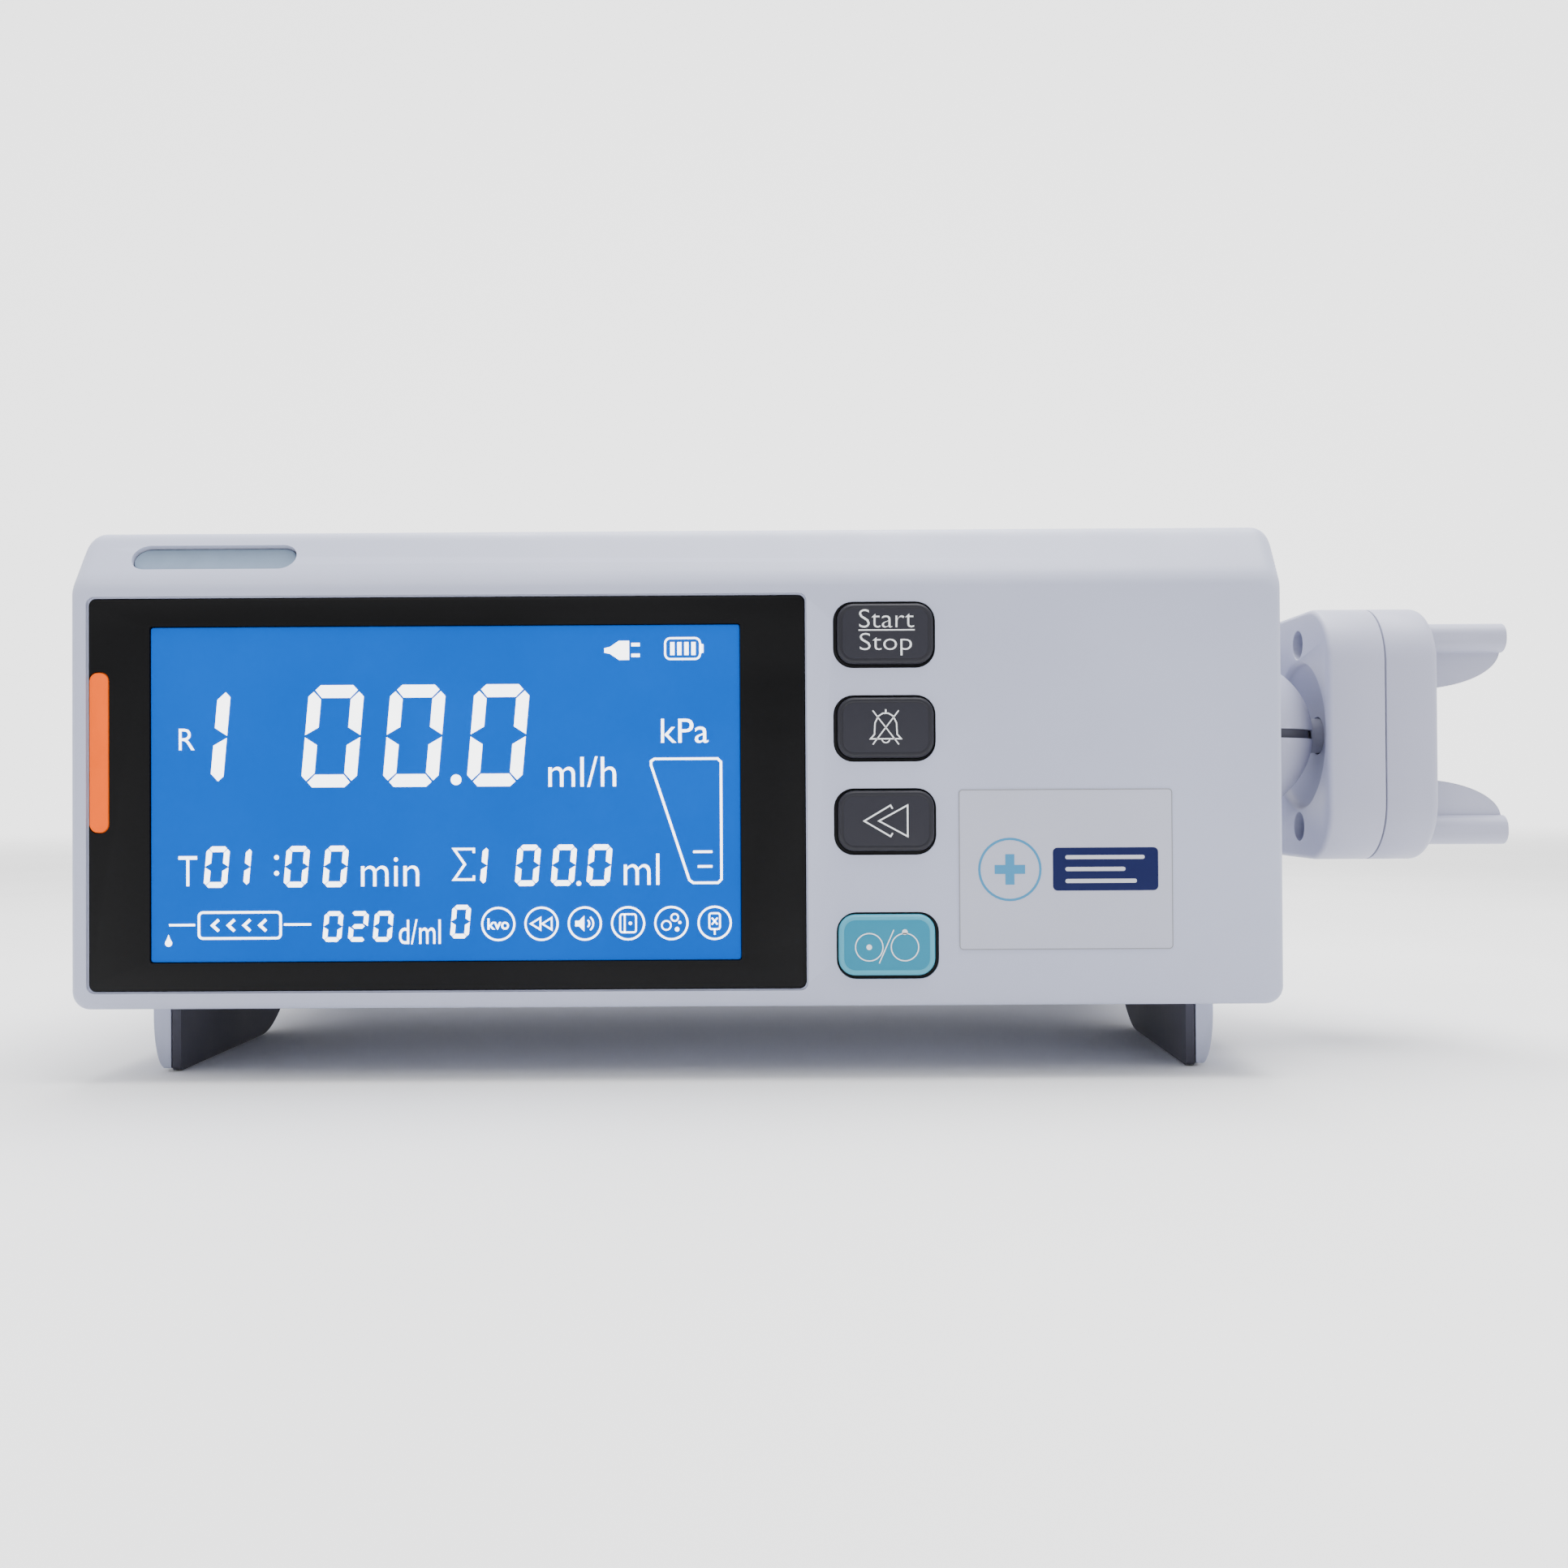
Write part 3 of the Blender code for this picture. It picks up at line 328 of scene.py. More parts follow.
def arc(centre, radius, start, end, steps):
    angles = [math.radians(start + (end - start) * i / steps) for i in range(steps + 1)]
    return [(centre[0] + radius * math.cos(t), centre[1] + radius * math.sin(t)) for t in angles]


def circle(centre, radius, steps=48):
    return arc(centre, radius, 0, 360 - 360 / steps, steps - 1)


def rounded(low_a, high_a, low_b, high_b, radius, steps=8):
    corners = (
        (high_a - radius, high_b - radius, 0),
        (low_a + radius, high_b - radius, 90),
        (low_a + radius, low_b + radius, 180),
        (high_a - radius, low_b + radius, 270),
    )
    return [p for a, b, turn in corners for p in arc((a, b), radius, turn, turn + 90, steps)]


def box(name, x, y, z):
    return prism(name, [(x[0], y[0]), (x[1], y[0]), (x[1], y[1]), (x[0], y[1])], "Z", *z)


def rod(name, axis, centre, radius, low, high, steps=48):
    return prism(name, circle(centre, radius, steps), axis, low, high)


def turned(name, axis, centre, profile, steps=64):
    rings = [[across(axis, point, along) for point in circle(centre, r, steps)] for r, along in profile]
    return loft(name, rings)


def around(centre, half):
    return centre - half, centre + half


def evaluated_mesh(obj):
    bpy.context.view_layer.update()
    return bpy.data.meshes.new_from_object(obj.evaluated_get(bpy.context.evaluated_depsgraph_get()))


def boolean(target, operation, tool):
    """Applies the tool to the target and removes it."""
    modifier = target.modifiers.new("Boolean", "BOOLEAN")
    modifier.operation = operation
    modifier.object = tool
    mesh = evaluated_mesh(target)
    target.modifiers.clear()
    target.data = mesh
    bpy.data.objects.remove(tool)


def cut(target, tool):
    boolean(target, "DIFFERENCE", tool)


def unite(target, tool):
    boolean(target, "UNION", tool)


def bevel(obj, width, segments=3, angle=30):
    """Rounds the edges sharper than the angle."""
    modifier = obj.modifiers.new("Bevel", "BEVEL")
    modifier.width = width * MM
    modifier.segments = segments
    modifier.limit_method = "ANGLE"
    modifier.angle_limit = math.radians(angle)
    return obj


def dress(obj, look, body, replaces=(), sharp=40):
    """Material, shading, the body it rides on and the CAD nodes it stands for."""
    obj.data.materials.clear()
    obj.data.materials.append(LOOKS[look])
    obj.data.shade_smooth()
    obj.data.set_sharp_from_angle(angle=math.radians(sharp))
    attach(obj, body)
    if replaces:
        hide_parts(*replaces)
    return obj


def at_depth(outline, y):
    return [across("Y", point, y) for point in outline]


def top_at(y):
    """Height of the upper edge at this depth: the slant, eased into the flat top."""
    slope = CHAMFER_H / CHAMFER_D
    if y <= CHAMFER_D - CHAMFER_EASE:
        return FRONT_TOP + slope * y
    share = min((y - CHAMFER_D + CHAMFER_EASE) / (2 * CHAMFER_EASE), 1.0)
    return TOP - slope * CHAMFER_EASE * (1 - share) ** 2


def body_ring(y, inset, steps=10):
    """The outline of door and housing at this depth, drawn in by an inset."""
    radius = CORNER_R - 0.4 * inset
    outline = rounded(-HALF_W + inset, HALF_W - inset, BASE_Z + inset, top_at(y) - inset, radius, steps)
    return at_depth(outline, y)


def quarter(radius, steps=5):
    """(y, inset) pairs of a rounded edge, from the face back to the side."""
    turns = [math.radians(90 * i / steps) for i in range(steps + 1)]
    return [(radius * (1 - math.sin(t)), radius * (1 - math.cos(t))) for t in reversed(turns)]


class Ink:
    """Flat printed or lit marks on a face that looks towards -Y, gathered into one mesh.

    Marks are placed in millimetres to the right of a left edge and down from a top edge."""

    def __init__(self, left, top, face, thick):
        self.left = left
        self.top = top
        self.depths = (face - thick, face + 0.02)
        self.work = bmesh.new()

    def point(self, u, v, y):
        return Vector((self.left + u, y, self.top - v)) * MM + ORIGIN

    def strip(self, outer, inner, closed):
        """A band between two outlines of equally many points."""
        near, far = self.depths
        rows = [[self.work.verts.new(self.point(u, v, y)) for u, v in line]
                for line, y in ((outer, near), (inner, near), (inner, far), (outer, far))]
        count = len(outer)
        for i in range(count if closed else count - 1):
            j = (i + 1) % count
            for row, after in zip(rows, rows[1:] + rows[:1]):
                self.work.faces.new((row[i], row[j], after[j], after[i]))
        if not closed:
            for i in (0, count - 1):
                self.work.faces.new([row[i] for row in rows])

    def stroke(self, points, width, closed=False):
        count = len(points)
        outer = []
        inner = []
        for i, (u, v) in enumerate(points):
            before = points[i - 1] if i or closed else points[i]
            after = points[(i + 1) % count] if i < count - 1 or closed else points[i]
            first = Vector((u - before[0], v - before[1]))
            second = Vector((after[0] - u, after[1] - v))
            first = first.normalized() if first.length else second.normalized()
            second = second.normalized() if second.length else first
            along = (first + second).normalized()
            reach = width / 2 / max(0.4, along.dot(first))
            outer.append((u - along.y * reach, v + along.x * reach))
            inner.append((u + along.y * reach, v - along.x * reach))
        self.strip(outer, inner, closed)

    def fill(self, outline):
        near, far = self.depths
        front = [self.work.verts.new(self.point(u, v, near)) for u, v in outline]
        back = [self.work.verts.new(self.point(u, v, far)) for u, v in outline]
        self.work.faces.new(front)
        self.work.faces.new(back)
        for i in range(len(outline)):
            j = (i + 1) % len(outline)
            self.work.faces.new((front[i], front[j], back[j], back[i]))

    def dot(self, u, v, radius):
        self.fill(circle((u, v), radius, 16))

    def ring(self, u, v, radius, width):
        self.stroke(circle((u, v), radius, 40), width, True)

    def text(self, words, u, v, heavy):
        """Words stretched to fill the box between two u and two v values, with heavier or lighter strokes."""
        curve = bpy.data.curves.new("words", "FONT")
        curve.body = words
        curve.size = 1.0
        curve.offset = heavy
        curve.resolution_u = 4
        obj = placed("words", curve)
        mesh = evaluated_mesh(obj)
        bpy.data.objects.remove(obj)
        xs = [vert.co.x for vert in mesh.vertices]
        ys = [vert.co.y for vert in mesh.vertices]
        low_x, low_y = min(xs), min(ys)
        scale_x = (u[1] - u[0]) / (max(xs) - low_x)
        scale_y = (v[1] - v[0]) / (max(ys) - low_y)
        near = self.depths[0]
        for polygon in mesh.polygons:
            spots = [mesh.vertices[i].co for i in polygon.vertices]
            flat = [(u[0] + (s.x - low_x) * scale_x, v[1] - (s.y - low_y) * scale_y) for s in spots]
            self.work.faces.new([self.work.verts.new(self.point(a, b, near)) for a, b in flat])
        bpy.data.meshes.remove(mesh)

    def done(self, name, look, body):
        bmesh.ops.remove_doubles(self.work, verts=self.work.verts, dist=1e-7)
        obj = mesh_object(name, self.work)
        obj.data.materials.append(LOOKS[look])
        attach(obj, body)


# --- Door ---


def chamfer_point(up, out):
    """(y, z) of a point this far up the slant and this far out of it."""
    slope = math.atan2(CHAMFER_H, CHAMFER_D)
    y = up * math.cos(slope) - out * math.sin(slope)
    return y, FRONT_TOP + up * math.sin(slope) + out * math.cos(slope)


def lamp_prism(name, grow, rows):
    """A stadium across the slant. Each row is (distance out of the surface, extra inset)."""
    low, high = limits("alarm_lamp_lens")
    half, x = (high.x - low.x) / 2 + 0.15, (high.x + low.x) / 2
    middle = math.hypot(CHAMFER_D, CHAMFER_H) / 2
    rings = []
    for out, inset in rows:
        radius = LAMP_R + grow - inset
        ends = half + grow - inset
        outline = rounded(-ends, ends, middle - radius, middle + radius, radius - 0.01, 12)
        rings.append([(x + a, *chamfer_point(b, out)) for a, b in outline])
    return loft(name, rings)


def grown(node, by):
    """The sides of a node seen from the front, moved outwards."""
    low, high = limits(node)
    return low.x - by, high.x + by, low.z - by, high.z + by


def key_outline(node, grow):
    return rounded(*grown(node, grow), KEY_R + grow)


def well_outline(key, grow):
    """A key's well, a little wider at one side and below: painted shade for the key's shadow in its gap."""
    aside = WELL_ASIDE if key == "key_power" else -WELL_ASIDE
    return [(a + aside, b - WELL_DOWN) for a, b in key_outline(key, grow)]


def plate(name, node, radius, tightening, rows):
    """A flat piece with a rounded front edge. Each row is (inset, y), and the inset tightens its corners."""
    return loft(name, [
        at_depth(rounded(*grown(node, -inset), radius - tightening * inset), y) for inset, y in rows
    ])


def make_door():
    """A shell with lugs round its hinge pins, a rounded rear corner, and openings for its fittings."""
    rows = quarter(1.3) + [(y, 0) for y in (2.2, 3.4, 4.6, 5.3, 5.7, 6.1, 6.5, 6.9, 7.3, 7.7, 9.0)]
    rows += [(SEAM - 0.3, 0), (SEAM - 0.1, 0.08), (SEAM, 0.3)]
    shell = loft("door_face", [body_ring(y, inset) for y, inset in rows])
    cut(shell, loft("cavity", [body_ring(y, WALL, 6) for y in (WALL, CHAMFER_D + 1.2, SEAM + 1)]))
    hinge = mid("hinge_pin_lower", "xy")
    pins = [limits(f"hinge_pin_{which}") for which in ("lower", "upper")]
    for low, high in pins:
        lug = (-HALF_W + 1, hinge[0] + LUG_HALF), (hinge[1] - LUG_HALF, SEAM - 0.4)
        unite(shell, box("lug", *lug, (low.z - 1.3, high.z + 1.3)))
    cut(shell, prism("pocket", rounded(*grown("display_window", 0.3), 1.4), "Y", -1, 1.95))
    cut(shell, prism("opening", rounded(*grown("lcd_module", 2.5), 1.0), "Y", 0.5, WALL + 1))
    for key in KEYS:
        cut(shell, prism("well", well_outline(key, WELL_GAP), "Y", -1, WALL + 1))
    cut(shell, lamp_prism("lamp_slot", 0.0, ((1.0, 0), (-WALL - 1.5, 0))))
    corner = box("corner", (-HALF_W - 1, hinge[0]), (hinge[1], SEAM + 1), (BASE_Z - 1, TOP + 1))
    cut(corner, rod("round", "Z", hinge, LUG_R, BASE_Z - 2, TOP + 2, 96))
    cut(shell, corner)
    for low, high in pins:
        notch = (-HALF_W - 1, hinge[0] + LUG_HALF - 0.2), (hinge[1] - LUG_HALF + 0.2, SEAM + 1)
        cut(shell, box("notch", *notch, (low.z + 2.4, high.z - 2.4)))
        cut(shell, rod("bore", "Z", hinge, PIN_BORE_R, low.z - 0.3, high.z + 0.3, 24))
    bevel(shell, 0.22, 2, 45)
    dress(shell, "door_plastic", "door", replaces=["door_shell"])


def make_window():
    """The black window: a frame of glass round the display, a pale lip along its edge and the light bar."""
    back = limits("display_window")[1].y
    rows = ((0.5, 0.15), (0.15, 0.3), (0.0, 1.3), (0.0, back))
    window = plate("window_glass", "display_window", WINDOW_R, 0.6, rows)
    cut(window, prism("view", rounded(*grown("lcd_module", 0.15), 0.5), "Y", -1, 3))
    cut(window, prism("bar_slot", rounded(*grown("status_light_bar", 0.1), 1.6), "Y", -1, 3))
    dress(window, "window_glass", "door", replaces=["display_window"])
    lip = prism("window_lip", rounded(*grown("display_window", 0.27), 1.4), "Y", 0.55, 1.9)
    cut(lip, prism("inner", rounded(*grown("display_window", 0.03), WINDOW_R), "Y", 0, 3))
    dress(lip, "door_plastic", "door")
    back = limits("status_light_bar")[1].y
    rows = ((0.45, 0.02), (0.2, 0.12), (0.0, 0.4), (0.0, back))
    bar = plate("light_bar", "status_light_bar", LIGHT_BAR_R, 1, rows)
    dress(bar, "amber_lens", "door", replaces=["status_light_bar"])


def make_lamp():
    """The alarm lamp's lens, sunk in the slant, on a black bed that closes the slot behind it."""
    rows = ((-0.95, 1.2), (-0.72, 0.5), (-0.8, 0.15), (-1.1, 0.0), (-2.4, 0.0))
    lens = lamp_prism("lamp_lens", -0.12, rows)
    dress(lens, "lamp_lens", "door", replaces=["alarm_lamp_lens"])
    bed = lamp_prism("lamp_bed", 0.3, ((-2.45, 0.0), (-3.4, 0.0)))
    dress(bed, "well_black", "door")


# --- The display's marks ---

LIT_SEGMENTS = {"0": "abcdef", "1": "bc", "2": "abged"}
DIGIT_LEAN = 0.09
LINE = 0.42
FINE_LINE = 0.28

# Rows of figures: (figure, u) pairs, then the row's v and each figure's width, height and thickness.
FIGURES = (
    ((("1", 2.9), ("0", 26.6), ("0", 41.1), ("0", 56.0)), 10.4, 9.8, 18.1, 2.25),
    ((("0", 9.3), ("1", 13.2), ("0", 23.5), ("0", 30.4),
      ("1", 55.2), ("0", 64.5), ("0", 70.9), ("0", 77.2)), 38.9, 4.1, 7.3, 0.98),
    ((("0", 30.4), ("2", 34.9), ("0", 39.3)), 50.5, 3.3, 5.4, 0.8),
    ((("0", 53.0),), 49.5, 3.3, 5.9, 0.8),
)
# Decimal points and colon: u, v, radius.
POINTS = ((54.2, 27.3, 0.95), (75.9, 45.8, 0.42), (22.3, 40.9, 0.42), (22.3, 43.7, 0.42))
# Units and letters: the word, its two u and its two v values, and how much heavier its strokes are.
WORDS = (
    ("R", (5.0, 7.8), (18.0, 21.8), -0.004),
    ("ml/h", (70.6, 82.6), (23.3, 28.7), -0.004),
    ("kPa", (90.6, 99.0), (16.7, 21.0), -0.002),
    ("T", (4.9, 8.2), (40.6, 45.9), -0.006),
    ("min", (37.3, 47.6), (41.0, 46.1), -0.006),
    ("ml", (83.9, 90.2), (40.6, 46.1), -0.006),
    ("d/ml", (44.0, 51.4), (52.0, 56.4), 0.0),
)
SIGMA = ((57.3, 40.3), (57.3, 39.6), (53.8, 39.6), (55.7, 42.3), (53.8, 45.0), (57.3, 45.0), (57.3, 44.3))


def digit(ink, figure, u, v, width, height, thick):
    """A seven-segment figure with chamfered outer corners and wedges at its waist, leaning to the right."""
    t, w, m = thick, width, height / 2
    g = thick * 0.06
    c = thick * 0.9
    cap = [(c, 0), (w - c, 0), (w - c / 2 - g, c / 2 - g), (w - t - g, t), (t + g, t), (c / 2 + g, c / 2 - g)]
    post = [(0, c), (c / 2 - g, c / 2 + g), (t, t + 2 * g), (t, m - t * 0.7), (0, m - g * 1.5)]
    shapes = {
        "a": cap,
        "d": [(a, height - b) for a, b in cap],
        "g": [(t * 0.7, m), (t * 1.2, m - t / 2), (w - t * 1.2, m - t / 2), (w - t * 0.7, m),
              (w - t * 1.2, m + t / 2), (t * 1.2, m + t / 2)],
        "f": post,
        "e": [(a, height - b) for a, b in post],
        "b": [(w - a, b) for a, b in post],
        "c": [(w - a, height - b) for a, b in post],
    }
    for segment in LIT_SEGMENTS[figure]:
        ink.fill([(u + a + DIGIT_LEAN * (height - b), v + b) for a, b in shapes[segment]])


def make_display():
    low, high = limits("lcd_module")
    panel = prism("lcd_panel", rounded(low.x, high.x, low.z, high.z, 0.5), "Y", LCD_FACE, high.y)
    bevel(panel, 0.08, 1)
    dress(panel, "lcd_glass", "door", replaces=["lcd_module"])
    ink = Ink(low.x, high.z, LCD_FACE - 0.03, 0.06)
    for figures, v, width, height, thick in FIGURES:
        for figure, u in figures:
            digit(ink, figure, u, v, width, height, thick)
    for u, v, radius in POINTS:
        ink.dot(u, v, radius)
    for word, u, v, heavy in WORDS:
        ink.text(word, u, v, heavy)
    ink.stroke(SIGMA, LINE)
    draw_status_marks(ink)
    draw_flow_marks(ink)
    draw_round_icons(ink)
    ink.done("lcd_marks", "lcd_white", "door")


def draw_status_marks(ink):
    """Mains plug, battery, and the pressure scale."""
    ink.fill([(83.2, 2.8), (85.0, 2.8), (85.0, 6.2), (83.2, 6.2),
              (81.6, 5.1), (80.6, 4.9), (80.6, 4.1), (81.6, 3.9)])
    for v in (3.5, 5.4):
        ink.fill([(85.4, v - 0.3), (86.9, v - 0.3), (86.9, v + 0.3), (85.4, v + 0.3)])
    ink.stroke(rounded(91.4, 97.6, 2.4, 6.1, 0.9, 4), 0.34, True)
    ink.fill([(97.7, 3.4), (98.2, 3.5), (98.2, 5.0), (97.7, 5.1)])
    for i in range(4):
        u = 92.3 + 1.25 * i
        ink.fill([(u, 3.1), (u + 0.75, 3.1), (u + 0.75, 5.4), (u, 5.4)])
    ink.stroke([(89.4, 23.8), (100.6, 23.8), (101.2, 24.4), (101.2, 45.2), (100.6, 45.8), (96.2, 45.8),
                (95.5, 45.3), (88.8, 24.9), (88.8, 24.2)], LINE, True)
    for u, v in ((96.2, 40.3), (97.0, 42.9)):
        ink.stroke([(u, v), (99.6, v)], LINE)


def draw_flow_marks(ink):
    """The tube with its drop, and arrows that run to the left."""
    for start, end in ((3.2, 7.8), (23.6, 28.4)):
        ink.stroke([(start, 52.8), (end, 52.8)], 0.4)
    ink.stroke(rounded(8.5, 23.0, 50.6, 55.2, 0.7, 4), LINE, True)
    for i in range(4):
        u, v, size = 10.9 + 2.8 * i, 52.9, 2.0
        ink.stroke([(u + size * 0.55, v - size / 2), (u, v), (u + size * 0.55, v + size / 2)], 0.5)
    turns = [math.radians(degrees) for degrees in range(40, 321, 20)]
    ink.fill([(3.1 + 0.62 * math.sin(turn), 56.0 - 0.62 * math.cos(turn)) for turn in turns] + [(3.1, 54.5)])


def draw_round_icons(ink):
    """Six ringed symbols: keep-open flow, fast flow, sound, door, bubbles and empty bottle."""
    v = 52.9
    centres = [61.6 + 7.67 * i for i in range(6)]
    for u in centres:
        ink.ring(u, v, 2.85, 0.34)
    u = centres[0]
    ink.text("kvo", (u - 1.9, u + 1.9), (v - 1.0, v + 1.0), 0.02)
    u = centres[1]
    for tip in (u - 1.9, u + 0.1):
        ink.stroke([(tip, v), (tip + 1.7, v - 1.054), (tip + 1.7, v + 1.054)], FINE_LINE, True)
    u = centres[2]
    ink.fill([(u - 1.7, v - 0.5), (u - 1.0, v - 0.5), (u - 0.1, v - 1.4),
              (u - 0.1, v + 1.4), (u - 1.0, v + 0.5), (u - 1.7, v + 0.5)])
    for radius in (0.8, 1.5):
        ink.stroke(arc((u, v), radius, -50, 50, 8), FINE_LINE)
    u = centres[3]
    ink.stroke(rounded(u - 1.4, u + 1.4, v - 1.6, v + 1.6, 0.4, 3), 0.3, True)
    ink.stroke([(u - 0.6, v - 1.6), (u - 0.6, v + 1.6)], 0.3)
    ink.dot(u + 0.4, v, 0.3)
    u = centres[4]
    ink.ring(u + 0.6, v - 1.0, 0.62, 0.26)
    ink.ring(u - 0.9, v + 0.4, 0.8, 0.26)
    ink.dot(u + 1.0, v + 1.1, 0.4)
    ink.dot(u + 1.5, v - 0.1, 0.28)
    u = centres[5]
    ink.stroke(rounded(u - 0.95, u + 0.95, v - 1.7, v + 1.1, 0.4, 3), 0.3, True)
    for side in (-1, 1):
        ink.stroke([(u - 0.5 * side, v - 0.9), (u + 0.5 * side, v + 0.3)], FINE_LINE)
    ink.stroke([(u, v + 1.1), (u, v + 2.1)], 0.3)


# --- Keys and label ---


def draw_start_stop(ink):
    ink.text("Start", (-4.6, 5.1), (-4.3, -1.05), -0.012)
    ink.text("Stop", (-4.5, 4.7), (-0.1, 3.9), -0.012)
    ink.stroke([(-4.7, -0.62), (5.2, -0.62)], 0.22)


def draw_mute(ink):
    """A bell, crossed out."""
    bell = [(-2.7, 2.0), (-2.0, 1.2), (-1.9, -0.8), (-1.3, -2.0), (-0.5, -2.5),
            (0.5, -2.5), (1.3, -2.0), (1.9, -0.8), (2.0, 1.2), (2.7, 2.0)]
    ink.stroke(bell, 0.24, True)
    ink.stroke([(0, -2.6), (0, -3.2)], 0.3)
    ink.stroke(arc((0, 2.0), 0.7, 0, 180, 8), 0.22)
    for side in (-1, 1):
        ink.stroke([(-2.3 * side, -3.0), (2.3 * side, 3.0)], 0.22)


def draw_fast(ink):
    """Two arrowheads to the left, the nearer one over the other."""
    ink.stroke([(1.1, -2.15), (0.75, -2.75), (-3.9, 0), (0.75, 2.75), (1.1, 2.15)], 0.27)
    ink.stroke([(-1.3, 0), (3.75, -2.75), (3.75, 2.75)], 0.27, True)


def draw_power(ink):
    """Two rings with a stroke between them, one dotted in the middle and one on its rim."""
    for side in (-1, 1):
        ink.ring(3.15 * side, 0.35, 2.42, 0.2)
    ink.dot(-3.15, 0.35, 0.5)
    ink.dot(3.15, -2.3, 0.5)
    ink.stroke([(-1.4, 3.2), (1.2, -2.7)], 0.2)


KEY_DRAWINGS = dict(zip(KEYS, (draw_start_stop, draw_mute, draw_fast, draw_power)))


def make_keys():
    """Each key has a flat pad inside a bevelled rim, and stands in a black well whose wider side and bottom
    are painted shade.
    """
    for key, draw in KEY_DRAWINGS.items():
        low, high = limits(key)
        face = low.y + 0.05
        rim_rows = ((-1.0, face + 0.1), (-0.85, face + 0.02), (-0.5, face + 0.03), (-0.25, face + 0.16),
                    (-0.06, face + 0.45), (0, face + 0.8), (0, high.y - 3))
        pad_rows = ((-1.2, face + 0.03), (-1.0, face + 0.06), (-0.97, face + 0.5))
        # The teal key's rim look is painted highlight on its bevel.
        look, rim_look = ("key_teal", "teal_rim_painted_highlight") if key == "key_power" else ("key_dark", "key_rim")
        rim = loft(f"{key}_rim", [at_depth(key_outline(key, grow), y) for grow, y in rim_rows])
        dress(rim, rim_look, key, sharp=60)
        pad = loft(f"{key}_pad", [at_depth(key_outline(key, grow), y) for grow, y in pad_rows])
        dress(pad, look, key, replaces=[key])
        ink = Ink(*mid(key, "xz"), face + 0.03, 0.05)
        draw(ink)
        ink.done(f"{key}_mark", "key_mark", key)
        # The well is a black gasket round the key, and its wider side and bottom are painted shadow.
        well = prism(f"{key}_well", well_outline(key, WELL_GAP - 0.04), "Y", 0.45, WALL + 1.2)
        cut(well, prism("inner", key_outline(key, 0.12), "Y", 0, WALL + 2))
        dress(well, "well_black", "door")


def make_label():
    """A film label with a darker edge and a generic mark: a ringed plus beside a dark panel with bars."""
    low, high = limits("label_plate")
    sheet = prism("label", rounded(low.x, high.x, low.z, high.z, 0.7), "Y", LABEL_FACE, high.y)
    bevel(sheet, 0.04, 1)
    dress(sheet, "label_film", "door", replaces=["label_plate"])

    edge = Ink(low.x, high.z, LABEL_FACE, 0.02)
    wide, tall = high.x - low.x, high.z - low.z
    edge.stroke(rounded(0.12, wide - 0.12, 0.12, tall - 0.12, 0.6, 4), 0.16, True)
    edge.done("label_edge", "label_grey", "door")

    mark = Ink(low.x, high.z, LABEL_FACE, 0.03)
    u, v, arm, half = 9.0, 14.2, 2.7, 0.8
    mark.ring(u, v, 5.4, 0.42)
    plus = [(-half, -arm), (half, -arm), (half, -half), (arm, -half), (arm, half), (half, half),
            (half, arm), (-half, arm), (-half, half), (-arm, half), (-arm, -half), (-half, -half)]
    mark.fill([(u + a, v + b) for a, b in plus])
    mark.done("label_mark", "label_blue", "door")

    panel = Ink(low.x, high.z, LABEL_FACE, 0.03)
    panel.fill(rounded(16.6, 35.2, 10.4, 18.0, 0.8, 4))
    panel.done("label_panel", "label_navy", "door")

    bars = Ink(low.x, high.z, LABEL_FACE - 0.02, 0.04)
    for row, end in enumerate((32.8, 29.4, 31.4)):
        v = 12.1 + 2.1 * row
        bars.fill(rounded(18.8, end, v - 0.36, v + 0.36, 0.34, 4))
    bars.done("label_bars", "label_pale", "door")


# --- Housing and rear ---


def make_slots(shell, count, first, half, span, axis, low, high):
    """A row of round-ended slots, 6 apart along X."""
    for i in range(count):
        x = first + 6.0 * i
        cut(shell, prism("slot", rounded(x - half, x + half, *span, half - 0.1, 4), axis, low, high))


